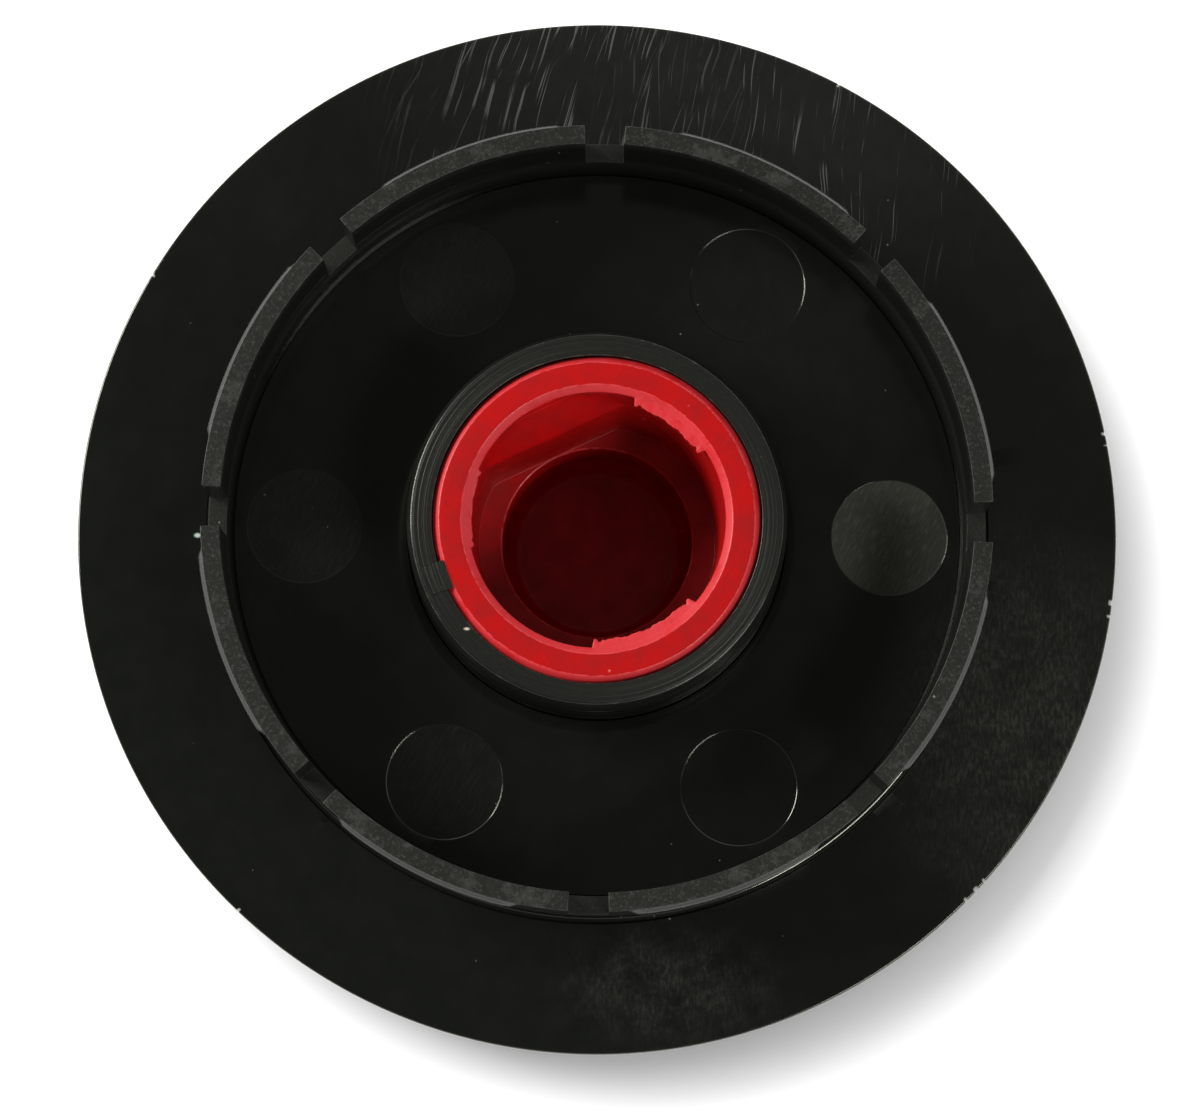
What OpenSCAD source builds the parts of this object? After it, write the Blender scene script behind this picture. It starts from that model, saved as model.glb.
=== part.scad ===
// Panel plate and turning knob of a seacock valve, lying on its knob with the back of the panel plate up.
// Frame: Z is the knob's axis, and Z = 0 is the face of the plate that seats on the panel.
// The snap ring and the threaded boss rise above Z = 0, and the knob reaches below it.

/* [Plate] */
// Diameter of the round plate
plate_d = 102; // [90:1:140]
// Thickness of the plate
plate_t = 3.2; // [2.5:0.1:5]
// Radius of the plate's front edge
plate_edge_r = 1.2; // [0.4:0.1:2]
// Chamfer on the plate's back edge
plate_back_chamfer = 0.3; // [0.1:0.05:0.6]
// Number of round ejector marks on the floor inside the ring
mark_count = 6; // [3:1:8]
// Diameter of each ejector mark
mark_d = 11.4; // [5:0.1:12]
// Depth of each ejector mark
mark_depth = 0.15; // [0.05:0.05:0.4]

/* [Snap ring] */
// Outer diameter of the snap ring
ring_d = 75.4; // [62:0.1:84]
// Wall of the snap ring
ring_wall = 1.8; // [1.4:0.1:2.4]
// Height of the snap ring above the panel face
ring_h = 13.2; // [10:0.1:18]
// Number of slots in the snap ring
slot_count = 8; // [4:1:12]
// Width of each slot
slot_w = 3.9; // [2:0.1:6]
// Height of the closed wall below the slots
web_h = 4.9; // [2:0.1:8]
// How far each snap bead stands out of the ring
bead_out = 0.45; // [0.2:0.05:0.7]
// Height of each snap bead
bead_h = 1.6; // [1:0.1:2.4]
// Distance from the ring's top to the bead
bead_drop = 0.6; // [0.3:0.1:1.5]
// Share of each segment that its bead covers
bead_share = 0.75; // [0.3:0.05:0.9]

/* [Bearing sleeve] */
// Wall of the threaded boss round the knob's head
boss_wall = 2.45; // [1.8:0.05:4]
// Height of the threaded boss above the panel face
boss_h = 9.8; // [9:0.1:14]
// How far the collar in front of the plate stands out past the boss
collar_step = 2.7; // [2:0.1:5]
// Depth of the knob's seat below the panel face
ledge_depth = 1.0; // [0.6:0.1:1.6]
// Material between the detent pockets and the neck seal's groove
pocket_floor = 0.4; // [0.3:0.1:1]
// Material between the neck seal's groove and the wiper ring
seal_land = 0.6; // [0.4:0.1:1.2]
// Height of the collar's locating lug
lug_h = 1.2; // [0.8:0.1:2]

/* [Knob] */
// Diameter of the knob's head in the boss
head_d = 31.6; // [26:0.1:38]
// How far the neck in the collar is set back from the head
neck_step = 2.2; // [1.9:0.1:2.4]
// Length of the grip in front of the collar
grip_l = 10.2; // [8:0.1:20]
// Depth of each finger flat in the grip
grip_flat_depth = 2.0; // [1:0.1:2.2]
// Thickness of the knob's closed end
nose_t = 2.0; // [1.6:0.1:3]
// Wall of the knob's head round its mouth
head_wall = 3.4; // [3:0.1:3.8]
// Chamfer on both edges of the rim
rim_chamfer = 0.65; // [0.4:0.05:0.8]
// How far the flat of the drive socket is set in from the mouth
socket_flat_in = 2.7; // [1.8:0.1:3.2]
// How far the round bore at the bottom is set in from the flat
bore_step = 0.2; // [0.1:0.1:1.5]
// Depth of the round bore below its step
bore_l = 9; // [6:0.1:16]
// How far each lug inside the rim stands into the mouth
rim_lug_out = 0.75; // [0.3:0.05:1.5]
// How far the knob turns
turn = 90; // [45:5:100]

/* [Small parts] */
// Diameter of each detent ball
ball_d = 2.0; // [1.6:0.1:2.2]
// How far each detent ball moves
ball_travel = 0.35; // [0.2:0.05:0.5]
// Length of each fitted detent spring
spring_l = 2.15; // [1.6:0.05:3]
// Diameter of the stop pin
pin_d = 1.6; // [1.2:0.1:1.8]
// How far the stop pin stands above the seat
pin_out = 1.2; // [0.8:0.1:1.6]
// Depth of the stop pin below the seat
pin_in = 3; // [2:0.1:4]
// Width of each seal groove
groove_w = 1.9; // [1.6:0.1:2.2]
// Depth of each seal groove
groove_depth = 1.2; // [1:0.05:1.4]
// Width of the retaining key
key_w = 2.8; // [2:0.1:4]
// Depth of the retaining key's slot
key_depth = 3; // [2:0.1:3.4]
// Width of the dial ring round the collar
dial_w = 5.5; // [4.8:0.1:8]
// Diameter of each position marker
marker_d = 2.2; // [1.4:0.1:2.6]
// Width of the pointer in the knob's end
pointer_w = 2.2; // [1.4:0.1:3]

/* [Fits] */
// Radial clearance of a turning fit
run_gap = 0.05; // [0.02:0.01:0.1]
// Clearance round a part that is set in place
seat_gap = 0.03; // [0.02:0.01:0.06]
// Clearance of the sleeve in the plate
boss_gap = 0.1; // [0.05:0.05:0.3]

/* [Hidden] */
$fn = 96;
eps = 0.01;
far = 100;

black_plastic = [0.07, 0.075, 0.07];
ring_plastic = [0.13, 0.13, 0.13];
red_plastic = [0.72, 0.06, 0.07];

// Plate and ring
plate_r = plate_d / 2;
ring_r = ring_d / 2;
ring_in_r = ring_r - ring_wall;
ring_foot_r = 0.6;
mark_margin = 0.9;
relief_w = bead_out + 0.25;
relief_depth = 0.3;
slot_step = 360 / slot_count;
slot_half = asin(slot_w / 2 / ring_r);
segment_a = slot_step - 2 * slot_half;
bead_start = 0.07;

// Sleeve
head_r = head_d / 2;
neck_r = head_r - neck_step;
head_bore_r = head_r + run_gap;
neck_bore_r = neck_r + run_gap;
boss_r = head_bore_r + boss_wall;
shank_r = boss_r + 0.2;
plate_hole_r = shank_r + boss_gap;
boss_chamfer = 0.5;
collar_r = boss_r + collar_step;
ledge_z = -ledge_depth;
lug_w = 3;
lug_a = 90;
mark_ring_r = ring_in_r - ring_foot_r - mark_margin - mark_d / 2;

// Detent and stop
shoulder_z = ledge_z + 2 * run_gap;
ball_r = ball_d / 2;
detent_r = neck_bore_r + ball_r + 0.35;
ball_angles = [180, 270];
ball_z = shoulder_z - run_gap - ball_r;
ball_hole_r = ball_r + run_gap;
spring_r = ball_hole_r - 0.1;
spring_wall = 0.35;
spring_z = ball_z - ball_r - spring_l;
pin_r = pin_d / 2;
pin_ring_r = neck_bore_r + pin_r + 0.35;
pin_a = 45;
pin_groove_in_r = pin_ring_r - pin_r - run_gap;
pin_groove_h = pin_out + 2 * run_gap;
pin_half_a = asin((pin_r + run_gap) / pin_ring_r);
dimple_angles = [ball_angles[0] - turn, ball_angles[0], ball_angles[1] - turn, ball_angles[1]];

// Collar: as deep as the pockets, the neck seal and the wiper ring need
wiper_h = 1.2;
wiper_w = 1.5;
front_z = spring_z - pocket_floor - groove_w - seal_land - wiper_h;
neck_seal_z = front_z + wiper_h + seal_land + groove_w / 2;

// Knob
grip_gap = 0.3;
grip_top_z = front_z - grip_gap;
nose_z = grip_top_z - grip_l;
socket_bottom_z = nose_z + nose_t;
step_z = socket_bottom_z + bore_l;
mouth_r = head_r - head_wall;
grip_flat = neck_r - grip_flat_depth;
socket_flat = mouth_r - socket_flat_in;
rim_lug_r = mouth_r - rim_lug_out;
pocket_draft = 0.5;
ramp_top_z = boss_h - 0.8;
ramp_foot_z = boss_h - 5.9;
bore_r = socket_flat - bore_step;
bore_end_h = 1.6;
bore_end_r = bore_r - 1.3;
lobe_a = 56;
lobe_step = 120;
socket_flat_a = lobe_a + lobe_step / 2;
grip_angles = [for (i = [0:2]) socket_flat_a + i * lobe_step];
rim_lug_half = 20;
rim_lug_t = 0.9;
nose_chamfer = 1.2;

// Seals
seal_r = (groove_depth + run_gap - seat_gap) / 2;
head_groove_r = head_r - groove_depth;
head_seal_low_z = shoulder_z + pin_groove_h + 0.45 + groove_w / 2;
head_seal_top_z = boss_h - key_depth - 1.05 - groove_w / 2;
head_seal_zs = [head_seal_low_z, head_seal_top_z];

// Retaining key
key_a = 201.7;
key_slot_in_r = head_bore_r - 0.5;
key_slot_out_r = (head_bore_r + boss_r) / 2 + 0.2;
key_in_r = head_bore_r + seat_gap;
key_out_r = key_slot_out_r - seat_gap;
key_nose_r = head_r - rim_chamfer + 0.05;
key_top_z = boss_h + 0.4;
key_play = 0.12;

// Dial, markers and pointer
dial_in_r = collar_r + seat_gap;
dial_r = collar_r + dial_w;
dial_face_r = dial_r - 2;
dial_side_h = 1;
marker_ring_r = (dial_in_r + dial_face_r) / 2;
marker_h = 1.2;
marker_recess = 0.2;
pointer_a = lobe_a + 2 * lobe_step;
pointer_in_r = 3.5;
pointer_out_r = neck_r - nose_chamfer - pointer_w / 2 - 0.6;
pointer_t = 1;
pointer_recess = 0.1;

function quarter(cx, cy, r, from, n = 5) =
    [for (i = [0:n]) [cx + r * cos(from + i * 90 / n), cy + r * sin(from + i * 90 / n)]];

module tube_from_to(r_in, r_out, z0, z1) {
    rotate_extrude()
        translate([r_in, z0])
            square([r_out - r_in, z1 - z0]);
}

module sector(r_in, r_out, z0, z1, from, angle) {
    rotate([0, 0, from])
        rotate_extrude(angle = angle)
            translate([r_in, z0])
                square([r_out - r_in, z1 - z0]);
}

module torus(r, section_r, z) {
    translate([0, 0, z])
        rotate_extrude()
            translate([r, 0])
                circle(r = section_r, $fn = 32);
}

// The round plate, with the hole for the sleeve, the notch for its lug and the shallow marks on its floor
module flange_plate() {
    color(black_plastic)
        difference() {
            rotate_extrude()
                polygon(concat(
                    [[plate_hole_r, 0], [plate_hole_r, -plate_t]],
                    quarter(plate_r - plate_edge_r, -plate_t + plate_edge_r, plate_edge_r, 270),
                    [[plate_r, -plate_back_chamfer], [plate_r - plate_back_chamfer, 0]]
                ));
            tube_from_to(ring_r, ring_r + relief_w, -relief_depth, 1);
            for (i = [0:mark_count - 1])
                rotate([0, 0, i * 360 / mark_count])
                    translate([mark_ring_r, 0, -mark_depth])
                        cylinder(r = mark_d / 2, h = 1);
            rotate([0, 0, lug_a])
                translate([boss_r - 1, -lug_w / 2 - seat_gap, -plate_t - 1])
                    cube([collar_r - boss_r + 1 + seat_gap, lug_w + 2 * seat_gap, lug_h + 1 + seat_gap]);
        }
}

// The castellated ring that snaps into the panel's cut-out
module snap_ring() {
    color(ring_plastic)
        difference() {
            union() {
                rotate_extrude()
                    polygon([
                        [ring_in_r - ring_foot_r, 0], [ring_r, 0], [ring_r, ring_h - 0.2], [ring_r - 0.2, ring_h],
                        [ring_in_r + 0.2, ring_h], [ring_in_r, ring_h - 0.2], [ring_in_r, ring_foot_r]
                    ]);
                for (i = [0:slot_count - 1])
                    snap_bead(i * slot_step + slot_half + bead_start * segment_a);
            }
            for (i = [0:slot_count - 1])
                rotate([0, 0, i * slot_step])
                    translate([ring_in_r - 2, -slot_w / 2, web_h])
                        cube([ring_wall + 4, slot_w, ring_h]);
        }
}

module snap_bead(from) {
    top_z = ring_h - bead_drop;
    rotate([0, 0, from])
        rotate_extrude(angle = bead_share * segment_a)
            polygon([
                [ring_r - 0.5, top_z - bead_h], [ring_r, top_z - bead_h], [ring_r + bead_out, top_z - bead_h + bead_out],
                [ring_r + bead_out, top_z - bead_h / 2], [ring_r, top_z], [ring_r - 0.5, top_z]
            ]);
}

// The sleeve: threaded boss behind the plate, collar in front of it, and a stepped bore for the knob
module bearing_sleeve() {
    color(black_plastic)
        difference() {
            union() {
                rotate_extrude()
                    polygon([
                        [neck_bore_r, front_z], [collar_r, front_z], [collar_r, -plate_t], [shank_r, -plate_t],
                        [shank_r, 0], [boss_r, 0], [boss_r, boss_h - boss_chamfer], [boss_r - boss_chamfer, boss_h],
                        [head_bore_r, boss_h], [head_bore_r, ledge_z], [neck_bore_r, ledge_z]
                    ]);
                rotate([0, 0, lug_a])
                    translate([boss_r - 0.5, -lug_w / 2, -plate_t - 0.5])
                        cube([collar_r - boss_r + 0.5, lug_w, lug_h + 0.5]);
            }
            tube_from_to(neck_r, neck_bore_r + groove_depth, neck_seal_z - groove_w / 2, neck_seal_z + groove_w / 2);
            tube_from_to(neck_r, neck_bore_r + wiper_w, front_z - 1, front_z + wiper_h);
            for (a = ball_angles)
                rotate([0, 0, a])
                    translate([detent_r, 0, spring_z])
                        cylinder(r = ball_hole_r, h = ledge_z - spring_z + 0.5);
            rotate([0, 0, pin_a])
                translate([pin_ring_r, 0, ledge_z - pin_in])
                    cylinder(r = pin_r + seat_gap, h = pin_in + 0.5);
            rotate([0, 0, key_a])
                translate([key_slot_in_r, -key_w / 2 - seat_gap, boss_h - key_depth])
                    cube([key_slot_out_r - key_slot_in_r, key_w + 2 * seat_gap, key_depth + 1]);
        }
}

// The small key whose nose reaches over the knob's rim and keeps the knob in
module retaining_key() {
    nose_line = head_r - rim_chamfer + boss_h + key_play;
    color(black_plastic)
        rotate([0, 0, key_a])
            translate([0, key_w / 2, 0])
                rotate([90, 0, 0])
                    linear_extrude(key_w)
                        polygon([
                            [key_in_r, boss_h - key_depth], [key_out_r, boss_h - key_depth], [key_out_r, key_top_z],
                            [key_nose_r, key_top_z], [key_nose_r, nose_line - key_nose_r],
                            [key_in_r, nose_line - key_in_r]
                        ]);
}

module knob_body() {
    rotate_extrude()
        polygon([
            [0, nose_z], [neck_r - nose_chamfer, nose_z], [neck_r, nose_z + nose_chamfer], [neck_r, shoulder_z],
            [head_r, shoulder_z], [head_r, boss_h - rim_chamfer], [head_r - rim_chamfer, boss_h], [0, boss_h]
        ]);
}

// Everything that is hollow inside the knob: the socket with its one flat under a ramp, and the round bore
module knob_socket() {
    difference() {
        rotate_extrude()
            polygon([
                [0, step_z], [mouth_r - pocket_draft, step_z], [mouth_r, boss_h - rim_chamfer],
                [mouth_r + rim_chamfer + eps, boss_h + eps], [0, boss_h + eps]
            ]);
        rotate([0, 0, socket_flat_a])
            translate([0, mouth_r, 0])
                rotate([90, 0, 0])
                    linear_extrude(2 * mouth_r)
                        polygon([
                            [socket_flat, step_z - 1], [socket_flat, ramp_foot_z],
                            [mouth_r + 0.1, ramp_top_z], [far, ramp_top_z], [far, step_z - 1]
                        ]);
    }
    rotate_extrude()
        polygon([
            [0, socket_bottom_z], [bore_end_r, socket_bottom_z], [bore_r, socket_bottom_z + bore_end_h],
            [bore_r, step_z + 1], [0, step_z + 1]
        ]);
}

// The turning knob: a head in the boss, a neck through the collar, and a grip with three finger flats
module knob() {
    color(red_plastic) {
        difference() {
            knob_body();
            knob_socket();
            for (z = head_seal_zs)
                tube_from_to(head_groove_r, head_r + 1, z - groove_w / 2, z + groove_w / 2);
            for (a = grip_angles)
                rotate([0, 0, a])
                    translate([grip_flat, -neck_r, nose_z - 1])
                        cube([neck_r, 2 * neck_r, grip_top_z - nose_z + 1]);
            sector(
                pin_groove_in_r, head_r + 1, shoulder_z - 1, shoulder_z + pin_groove_h,
                pin_a - turn - pin_half_a, turn + 2 * pin_half_a
            );
            for (a = dimple_angles)
                rotate([0, 0, a])
                    translate([detent_r, 0, ball_z + ball_travel])
                        sphere(r = ball_r + run_gap, $fn = 48);
            pointer_shape(seat_gap, pointer_t + 1);
        }
        for (i = [0:2])
            sector(
                rim_lug_r, mouth_r + 0.3, boss_h - rim_chamfer - rim_lug_t, boss_h - rim_chamfer,
                lobe_a + i * lobe_step - rim_lug_half, 2 * rim_lug_half
            );
    }
}

module head_seal(i) {
    color("#151515")
        torus(head_groove_r + seal_r, seal_r, head_seal_zs[i]);
}

module head_seal_1() {
    head_seal(0);
}

module head_seal_2() {
    head_seal(1);
}

module neck_seal() {
    color("#151515")
        torus(neck_bore_r + groove_depth - seal_r, seal_r, neck_seal_z);
}

// A lip ring in the collar's mouth
module wiper_ring() {
    lip = 0.4;
    color("#1c1c1c")
        rotate_extrude()
            polygon([
                [neck_r + seat_gap, front_z + 0.2], [neck_r + seat_gap + lip, front_z],
                [neck_bore_r + wiper_w - seat_gap, front_z], [neck_bore_r + wiper_w - seat_gap, front_z + wiper_h],
                [neck_r + 0.5, front_z + wiper_h], [neck_r + seat_gap, front_z + 0.2 + lip]
            ]);
}

module stop_pin() {
    color("silver")
        rotate([0, 0, pin_a])
            translate([pin_ring_r, 0, ledge_z - pin_in])
                cylinder(r = pin_r, h = pin_in + pin_out);
}

module detent_ball(i) {
    color("silver")
        rotate([0, 0, ball_angles[i]])
            translate([detent_r, 0, ball_z])
                sphere(r = ball_r, $fn = 48);
}

module detent_ball_1() {
    detent_ball(0);
}

module detent_ball_2() {
    detent_ball(1);
}

module detent_spring(i) {
    color("gray")
        rotate([0, 0, ball_angles[i]])
            translate([detent_r, 0, 0])
                tube_from_to(spring_r - spring_wall, spring_r, spring_z, spring_z + spring_l);
}

module detent_spring_1() {
    detent_spring(0);
}

module detent_spring_2() {
    detent_spring(1);
}

// The ring round the collar that carries the two position markers
module dial_ring() {
    color("dimgray")
        difference() {
            rotate_extrude()
                polygon([
                    [dial_in_r, -plate_t], [dial_r, -plate_t], [dial_r, -plate_t - dial_side_h],
                    [dial_face_r, front_z], [dial_in_r, front_z]
                ]);
            for (a = [pointer_a, pointer_a + turn])
                marker_at(a, marker_d / 2 + seat_gap, front_z - 1, front_z + marker_h);
        }
}

module marker_at(a, r, z0, z1) {
    rotate([0, 0, a])
        translate([marker_ring_r, 0, z0])
            cylinder(r = r, h = z1 - z0);
}

module closed_marker() {
    color("red")
        marker_at(pointer_a, marker_d / 2, front_z + marker_recess, front_z + marker_h);
}

module open_marker() {
    color("green")
        marker_at(pointer_a + turn, marker_d / 2, front_z + marker_recess, front_z + marker_h);
}

// A bar with round ends, lying along a radius in the knob's closed end
module pointer_shape(grow, depth) {
    rotate([0, 0, pointer_a])
        translate([0, 0, nose_z + pointer_t - depth])
            linear_extrude(depth)
                union() {
                    translate([pointer_in_r, -pointer_w / 2 - grow])
                        square([pointer_out_r - pointer_in_r, pointer_w + 2 * grow]);
                    for (r = [pointer_in_r, pointer_out_r])
                        translate([r, 0])
                            circle(r = pointer_w / 2 + grow, $fn = 48);
                }
}

module pointer_insert() {
    color("white")
        pointer_shape(0, pointer_t - pointer_recess);
}

flange_plate();
snap_ring();
bearing_sleeve();
retaining_key();
knob();
head_seal_1();
head_seal_2();
neck_seal();
wiper_ring();
stop_pin();
detent_ball_1();
detent_ball_2();
detent_spring_1();
detent_spring_2();
dial_ring();
closed_marker();
open_marker();
pointer_insert();
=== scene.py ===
"""Visual model of a seacock panel plate: snap ring, threaded sleeve and red turning knob."""

import math
from collections import namedtuple
from types import SimpleNamespace

import bmesh
import bpy
import numpy as np
from mathutils import Matrix, Vector, geometry


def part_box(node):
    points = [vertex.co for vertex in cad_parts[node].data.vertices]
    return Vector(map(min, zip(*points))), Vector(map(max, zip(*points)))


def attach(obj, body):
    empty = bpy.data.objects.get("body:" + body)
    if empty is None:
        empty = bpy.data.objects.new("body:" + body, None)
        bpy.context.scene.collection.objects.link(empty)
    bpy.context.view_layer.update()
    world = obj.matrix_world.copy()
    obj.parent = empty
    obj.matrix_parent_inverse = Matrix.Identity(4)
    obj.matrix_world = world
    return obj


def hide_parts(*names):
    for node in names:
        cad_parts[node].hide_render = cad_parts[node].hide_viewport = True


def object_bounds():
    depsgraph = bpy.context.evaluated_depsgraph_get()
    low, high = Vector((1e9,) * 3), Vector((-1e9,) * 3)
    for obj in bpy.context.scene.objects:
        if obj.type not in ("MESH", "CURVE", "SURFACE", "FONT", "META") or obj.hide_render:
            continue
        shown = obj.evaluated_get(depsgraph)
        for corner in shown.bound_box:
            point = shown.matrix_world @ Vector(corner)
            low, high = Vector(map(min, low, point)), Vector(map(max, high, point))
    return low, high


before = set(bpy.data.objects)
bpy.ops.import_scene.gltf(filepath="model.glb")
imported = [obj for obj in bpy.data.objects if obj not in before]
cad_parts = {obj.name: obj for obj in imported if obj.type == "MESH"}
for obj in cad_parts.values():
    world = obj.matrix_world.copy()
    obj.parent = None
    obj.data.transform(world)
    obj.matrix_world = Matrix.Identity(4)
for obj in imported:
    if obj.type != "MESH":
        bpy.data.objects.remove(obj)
CAD_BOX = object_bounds()

bl_info = {
    "name": "Seacock Panel Plate",
    "version": (1, 0, 0),
    "blender": (4, 5, 0),
    "location": "View3D > Sidebar > Seacock",
    "description": "Builds the pieces and finishes of a seacock panel plate and its turning knob",
    "category": "Object",
}

MM = 0.001
WELD = 0.0005
SHOULDER = -1.0
BALL_PLACE = 15.0
BALL_ANGLES = (180, 270)
PIN_ANGLE, PIN_PLACE = 45, 14.8
HEAD_SEALS = (4.8, 1.8)
MARKER_PLACE = 22.77
CLOSED_ANGLE, OPEN_ANGLE = 296.0, 26.0
BOSS_SHADE = 0.62
SHARP = 0.6
Corner = namedtuple("Corner", "r z soft steps cuts wear", defaults=(0.0, 0, 0, 1.0))
Pit = namedtuple("Pit", "x0 y0 x1 y1 radius depth tone")


# Settings

def half_width(node):
    """Half the width of a frame node in metres."""
    low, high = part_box(node)
    return (high.x - low.x) / 2


def length(name, default, text):
    """A setting that is a length in metres."""
    return bpy.props.FloatProperty(name=name, description=text, default=default, min=0.0,
                                   precision=5, unit="LENGTH")


def amount(name, default, text, high=1.0):
    """A setting without a unit, from nought to a highest value."""
    return bpy.props.FloatProperty(name=name, description=text, default=default, min=0.0, max=high)


def colour(name, default, text):
    """A setting that is a linear colour."""
    return bpy.props.FloatVectorProperty(name=name, description=text, default=default, size=3,
                                         min=0.0, max=1.0, subtype="COLOR")


class SeacockPlateSettings(bpy.types.PropertyGroup):
    """Sizes of the round plate."""
    radius: length("Radius", half_width("flange_plate"), "From the axis to the rim")
    thickness: length("Thickness", -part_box("flange_plate")[0].z, "From the panel face to the front")
    hole_radius: length("Hole radius", 0.0186, "Hole that the sleeve's shank stands in")
    edge_radius: length("Edge radius", 0.0012, "Rounding of the front edge")
    chamfer: length("Chamfer", 0.00012, "Chamfer of the back edge")
    groove_radius: length("Groove radius", 0.0377, "Inner radius of the relief round the ring")
    groove_width: length("Groove width", 0.0007, "Width of the relief round the ring")
    mark_radius: length("Mark radius", 0.0057, "Radius of an ejector mark")
    mark_place: length("Mark place", 0.0287, "From the axis to an ejector mark's centre")
    mark_depth: length("Mark depth", 0.00015, "Depth of an ejector mark")


class SeacockRingSettings(bpy.types.PropertyGroup):
    """Sizes of the castellated ring."""
    outer_radius: length("Outer radius", 0.0377, "From the axis to the segments' outer face")
    inner_radius: length("Inner radius", 0.0359, "From the axis to the segments' inner face")
    height: length("Height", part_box("snap_ring")[1].z, "From the panel face to the segments' tops")
    web_height: length("Web height", 0.0049, "From the panel face to a slot's floor")
    slot_width: length("Slot width", 0.0039, "Width of a slot")
    bead: length("Bead", 0.00045, "How far the snap beads stand out")
    teeth: bpy.props.IntProperty(name="Segments", description="Number of segments", default=8,
                                 min=3)


class SeacockSleeveSettings(bpy.types.PropertyGroup):
    """Sizes of the threaded sleeve."""
    boss_radius: length("Boss radius", 0.0183, "From the axis to the thread's crests")
    bore_radius: length("Bore radius", 0.01585, "Radius of the bore round the knob's head")
    neck_bore: length("Neck bore", 0.01365, "Radius of the bore round the knob's neck")
    collar_radius: length("Collar radius", 0.021, "From the axis to the front collar's side")
    thread_pitch: length("Thread pitch", 0.0028, "Rise of the thread in one turn")
    thread_depth: length("Thread depth", 0.0003, "From the thread's crests to its roots")


class SeacockKnobSettings(bpy.types.PropertyGroup):
    """Sizes of the turning knob."""
    head_radius: length("Head radius", 0.0158, "From the axis to the head's side")
    rim_height: length("Rim height", 0.0098, "From the panel face to the rim's top")
    mouth_radius: length("Mouth radius", 0.0124, "Radius of the socket's mouth")
    flat_distance: length("Flat distance", 0.0097, "From the axis to a drive flat")
    bore_radius: length("Bore radius", 0.0095, "Radius of the deep bore")
    neck_radius: length("Neck radius", 0.0136, "Radius of the neck")
    grip_distance: length("Grip distance", 0.0116, "From the axis to a grip flat")
    nose: length("Nose", -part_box("knob")[0].z, "From the panel face to the nose's end")


class SeacockFinishSettings(bpy.types.PropertyGroup):
    """Colours and finishes."""
    gloss_black: colour("Gloss black", (0.0046, 0.0052, 0.004), "Plate's colour")
    satin_black: colour("Satin black", (0.0048, 0.0049, 0.004), "Ring's and sleeve's colour")
    red: colour("Red", (0.37, 0.0024, 0.0027), "Knob's colour")
    rubber: colour("Rubber", (0.012, 0.012, 0.012), "Seals' colour")
    steel: colour("Steel", (0.56, 0.57, 0.58), "Balls', springs' and pin's colour")
    dial: colour("Dial grey", (0.19, 0.2, 0.205), "Dial ring's colour")
    closed: colour("Closed marker", (0.6, 0.012, 0.012), "Closed marker's colour")
    opened: colour("Open marker", (0.02, 0.32, 0.06), "Open marker's colour")
    pointer: colour("Pointer white", (0.82, 0.82, 0.79), "Pointer's colour")
    wear: amount("Edge wear", 0.5, "Strength of the worn edges")
    dust: amount("Dust", 0.5, "Strength of the dust specks")


class SeacockStageSettings(bpy.types.PropertyGroup):
    """Camera, floor and lights."""
    tilt: bpy.props.FloatProperty(name="Tilt", description="Camera's lean from straight above",
                                  default=math.radians(7.03), subtype="ANGLE")
    roll: bpy.props.FloatProperty(name="Roll", description="Camera's turn about the object's axis",
                                  default=math.radians(1.2), subtype="ANGLE")
    distance: length("Distance", 0.4, "From the camera to the panel face")
    lens: amount("Lens", 122.19, "Focal length in millimetres", 500.0)
    key: amount("Key light", 5.0, "Power of the main light in watts", 100.0)
    backing: amount("Floor light", 4.2, "Power of the light on the floor in watts", 100.0)
    fill: amount("Fill light", 1.8, "Power of the low second light in watts", 100.0)
    floor: colour("Floor", (0.86, 0.86, 0.86), "Floor's colour")


class SeacockSettings(bpy.types.PropertyGroup):
    """All settings of the panel plate."""
    plate: bpy.props.PointerProperty(type=SeacockPlateSettings)
    ring: bpy.props.PointerProperty(type=SeacockRingSettings)
    sleeve: bpy.props.PointerProperty(type=SeacockSleeveSettings)
    knob: bpy.props.PointerProperty(type=SeacockKnobSettings)
    finish: bpy.props.PointerProperty(type=SeacockFinishSettings)
    stage: bpy.props.PointerProperty(type=SeacockStageSettings)


def in_mm(group):
    """A group's settings, with the lengths in millimetres, which the outlines are drawn in."""
    values = {}
    for key in group.__annotations__:
        value = getattr(group, key)
        is_length = group.bl_rna.properties[key].unit == "LENGTH"
        values[key] = value / MM if is_length else value
    return SimpleNamespace(**values)


# Outlines and meshes, drawn in millimetres

def columns(count, *places):
    """Angles round the axis in radians: an even spread, and closer ones round some places.

    A place is (angle, half width, step), in degrees."""
    marks = set(np.round(np.arange(count) * 360 / count, 4))
    for angle, reach, step in places:
        marks |= set(np.round((angle + np.arange(-reach, reach + step / 2, step)) % 360, 4))
    marks = np.array(sorted(marks))
    keep = np.append(np.diff(marks) > 0.02, True)
    return np.radians(marks[keep])


def away(angles, centre):
    """Signed angle in degrees from a centre in degrees to each column."""
    return (np.degrees(angles) - centre + 180) % 360 - 180


def ease(value, low, high):
    """Runs smoothly from 0 to 1 while the value runs from low to high."""
    share = np.clip((value - low) / (high - low), 0, 1)
    return share * share * (3 - 2 * share)


def hump(value, reach):
    """1 at nought, and smoothly 0 past the reach."""
    return 1 - ease(np.abs(value), 0, reach)


def lesser(a, b, blend):
    """The smaller of two sizes, with a soft change from one to the other."""
    return (a + b - np.sqrt((a - b) ** 2 + blend * blend)) / 2


def flat_side(angles, distance, centres):
    """Distance from the axis to flats at some angles in degrees, along each column."""
    nearest = np.min([np.abs(away(angles, c)) for c in centres], axis=0)
    return distance / np.cos(np.radians(np.minimum(nearest, 75)))


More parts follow.
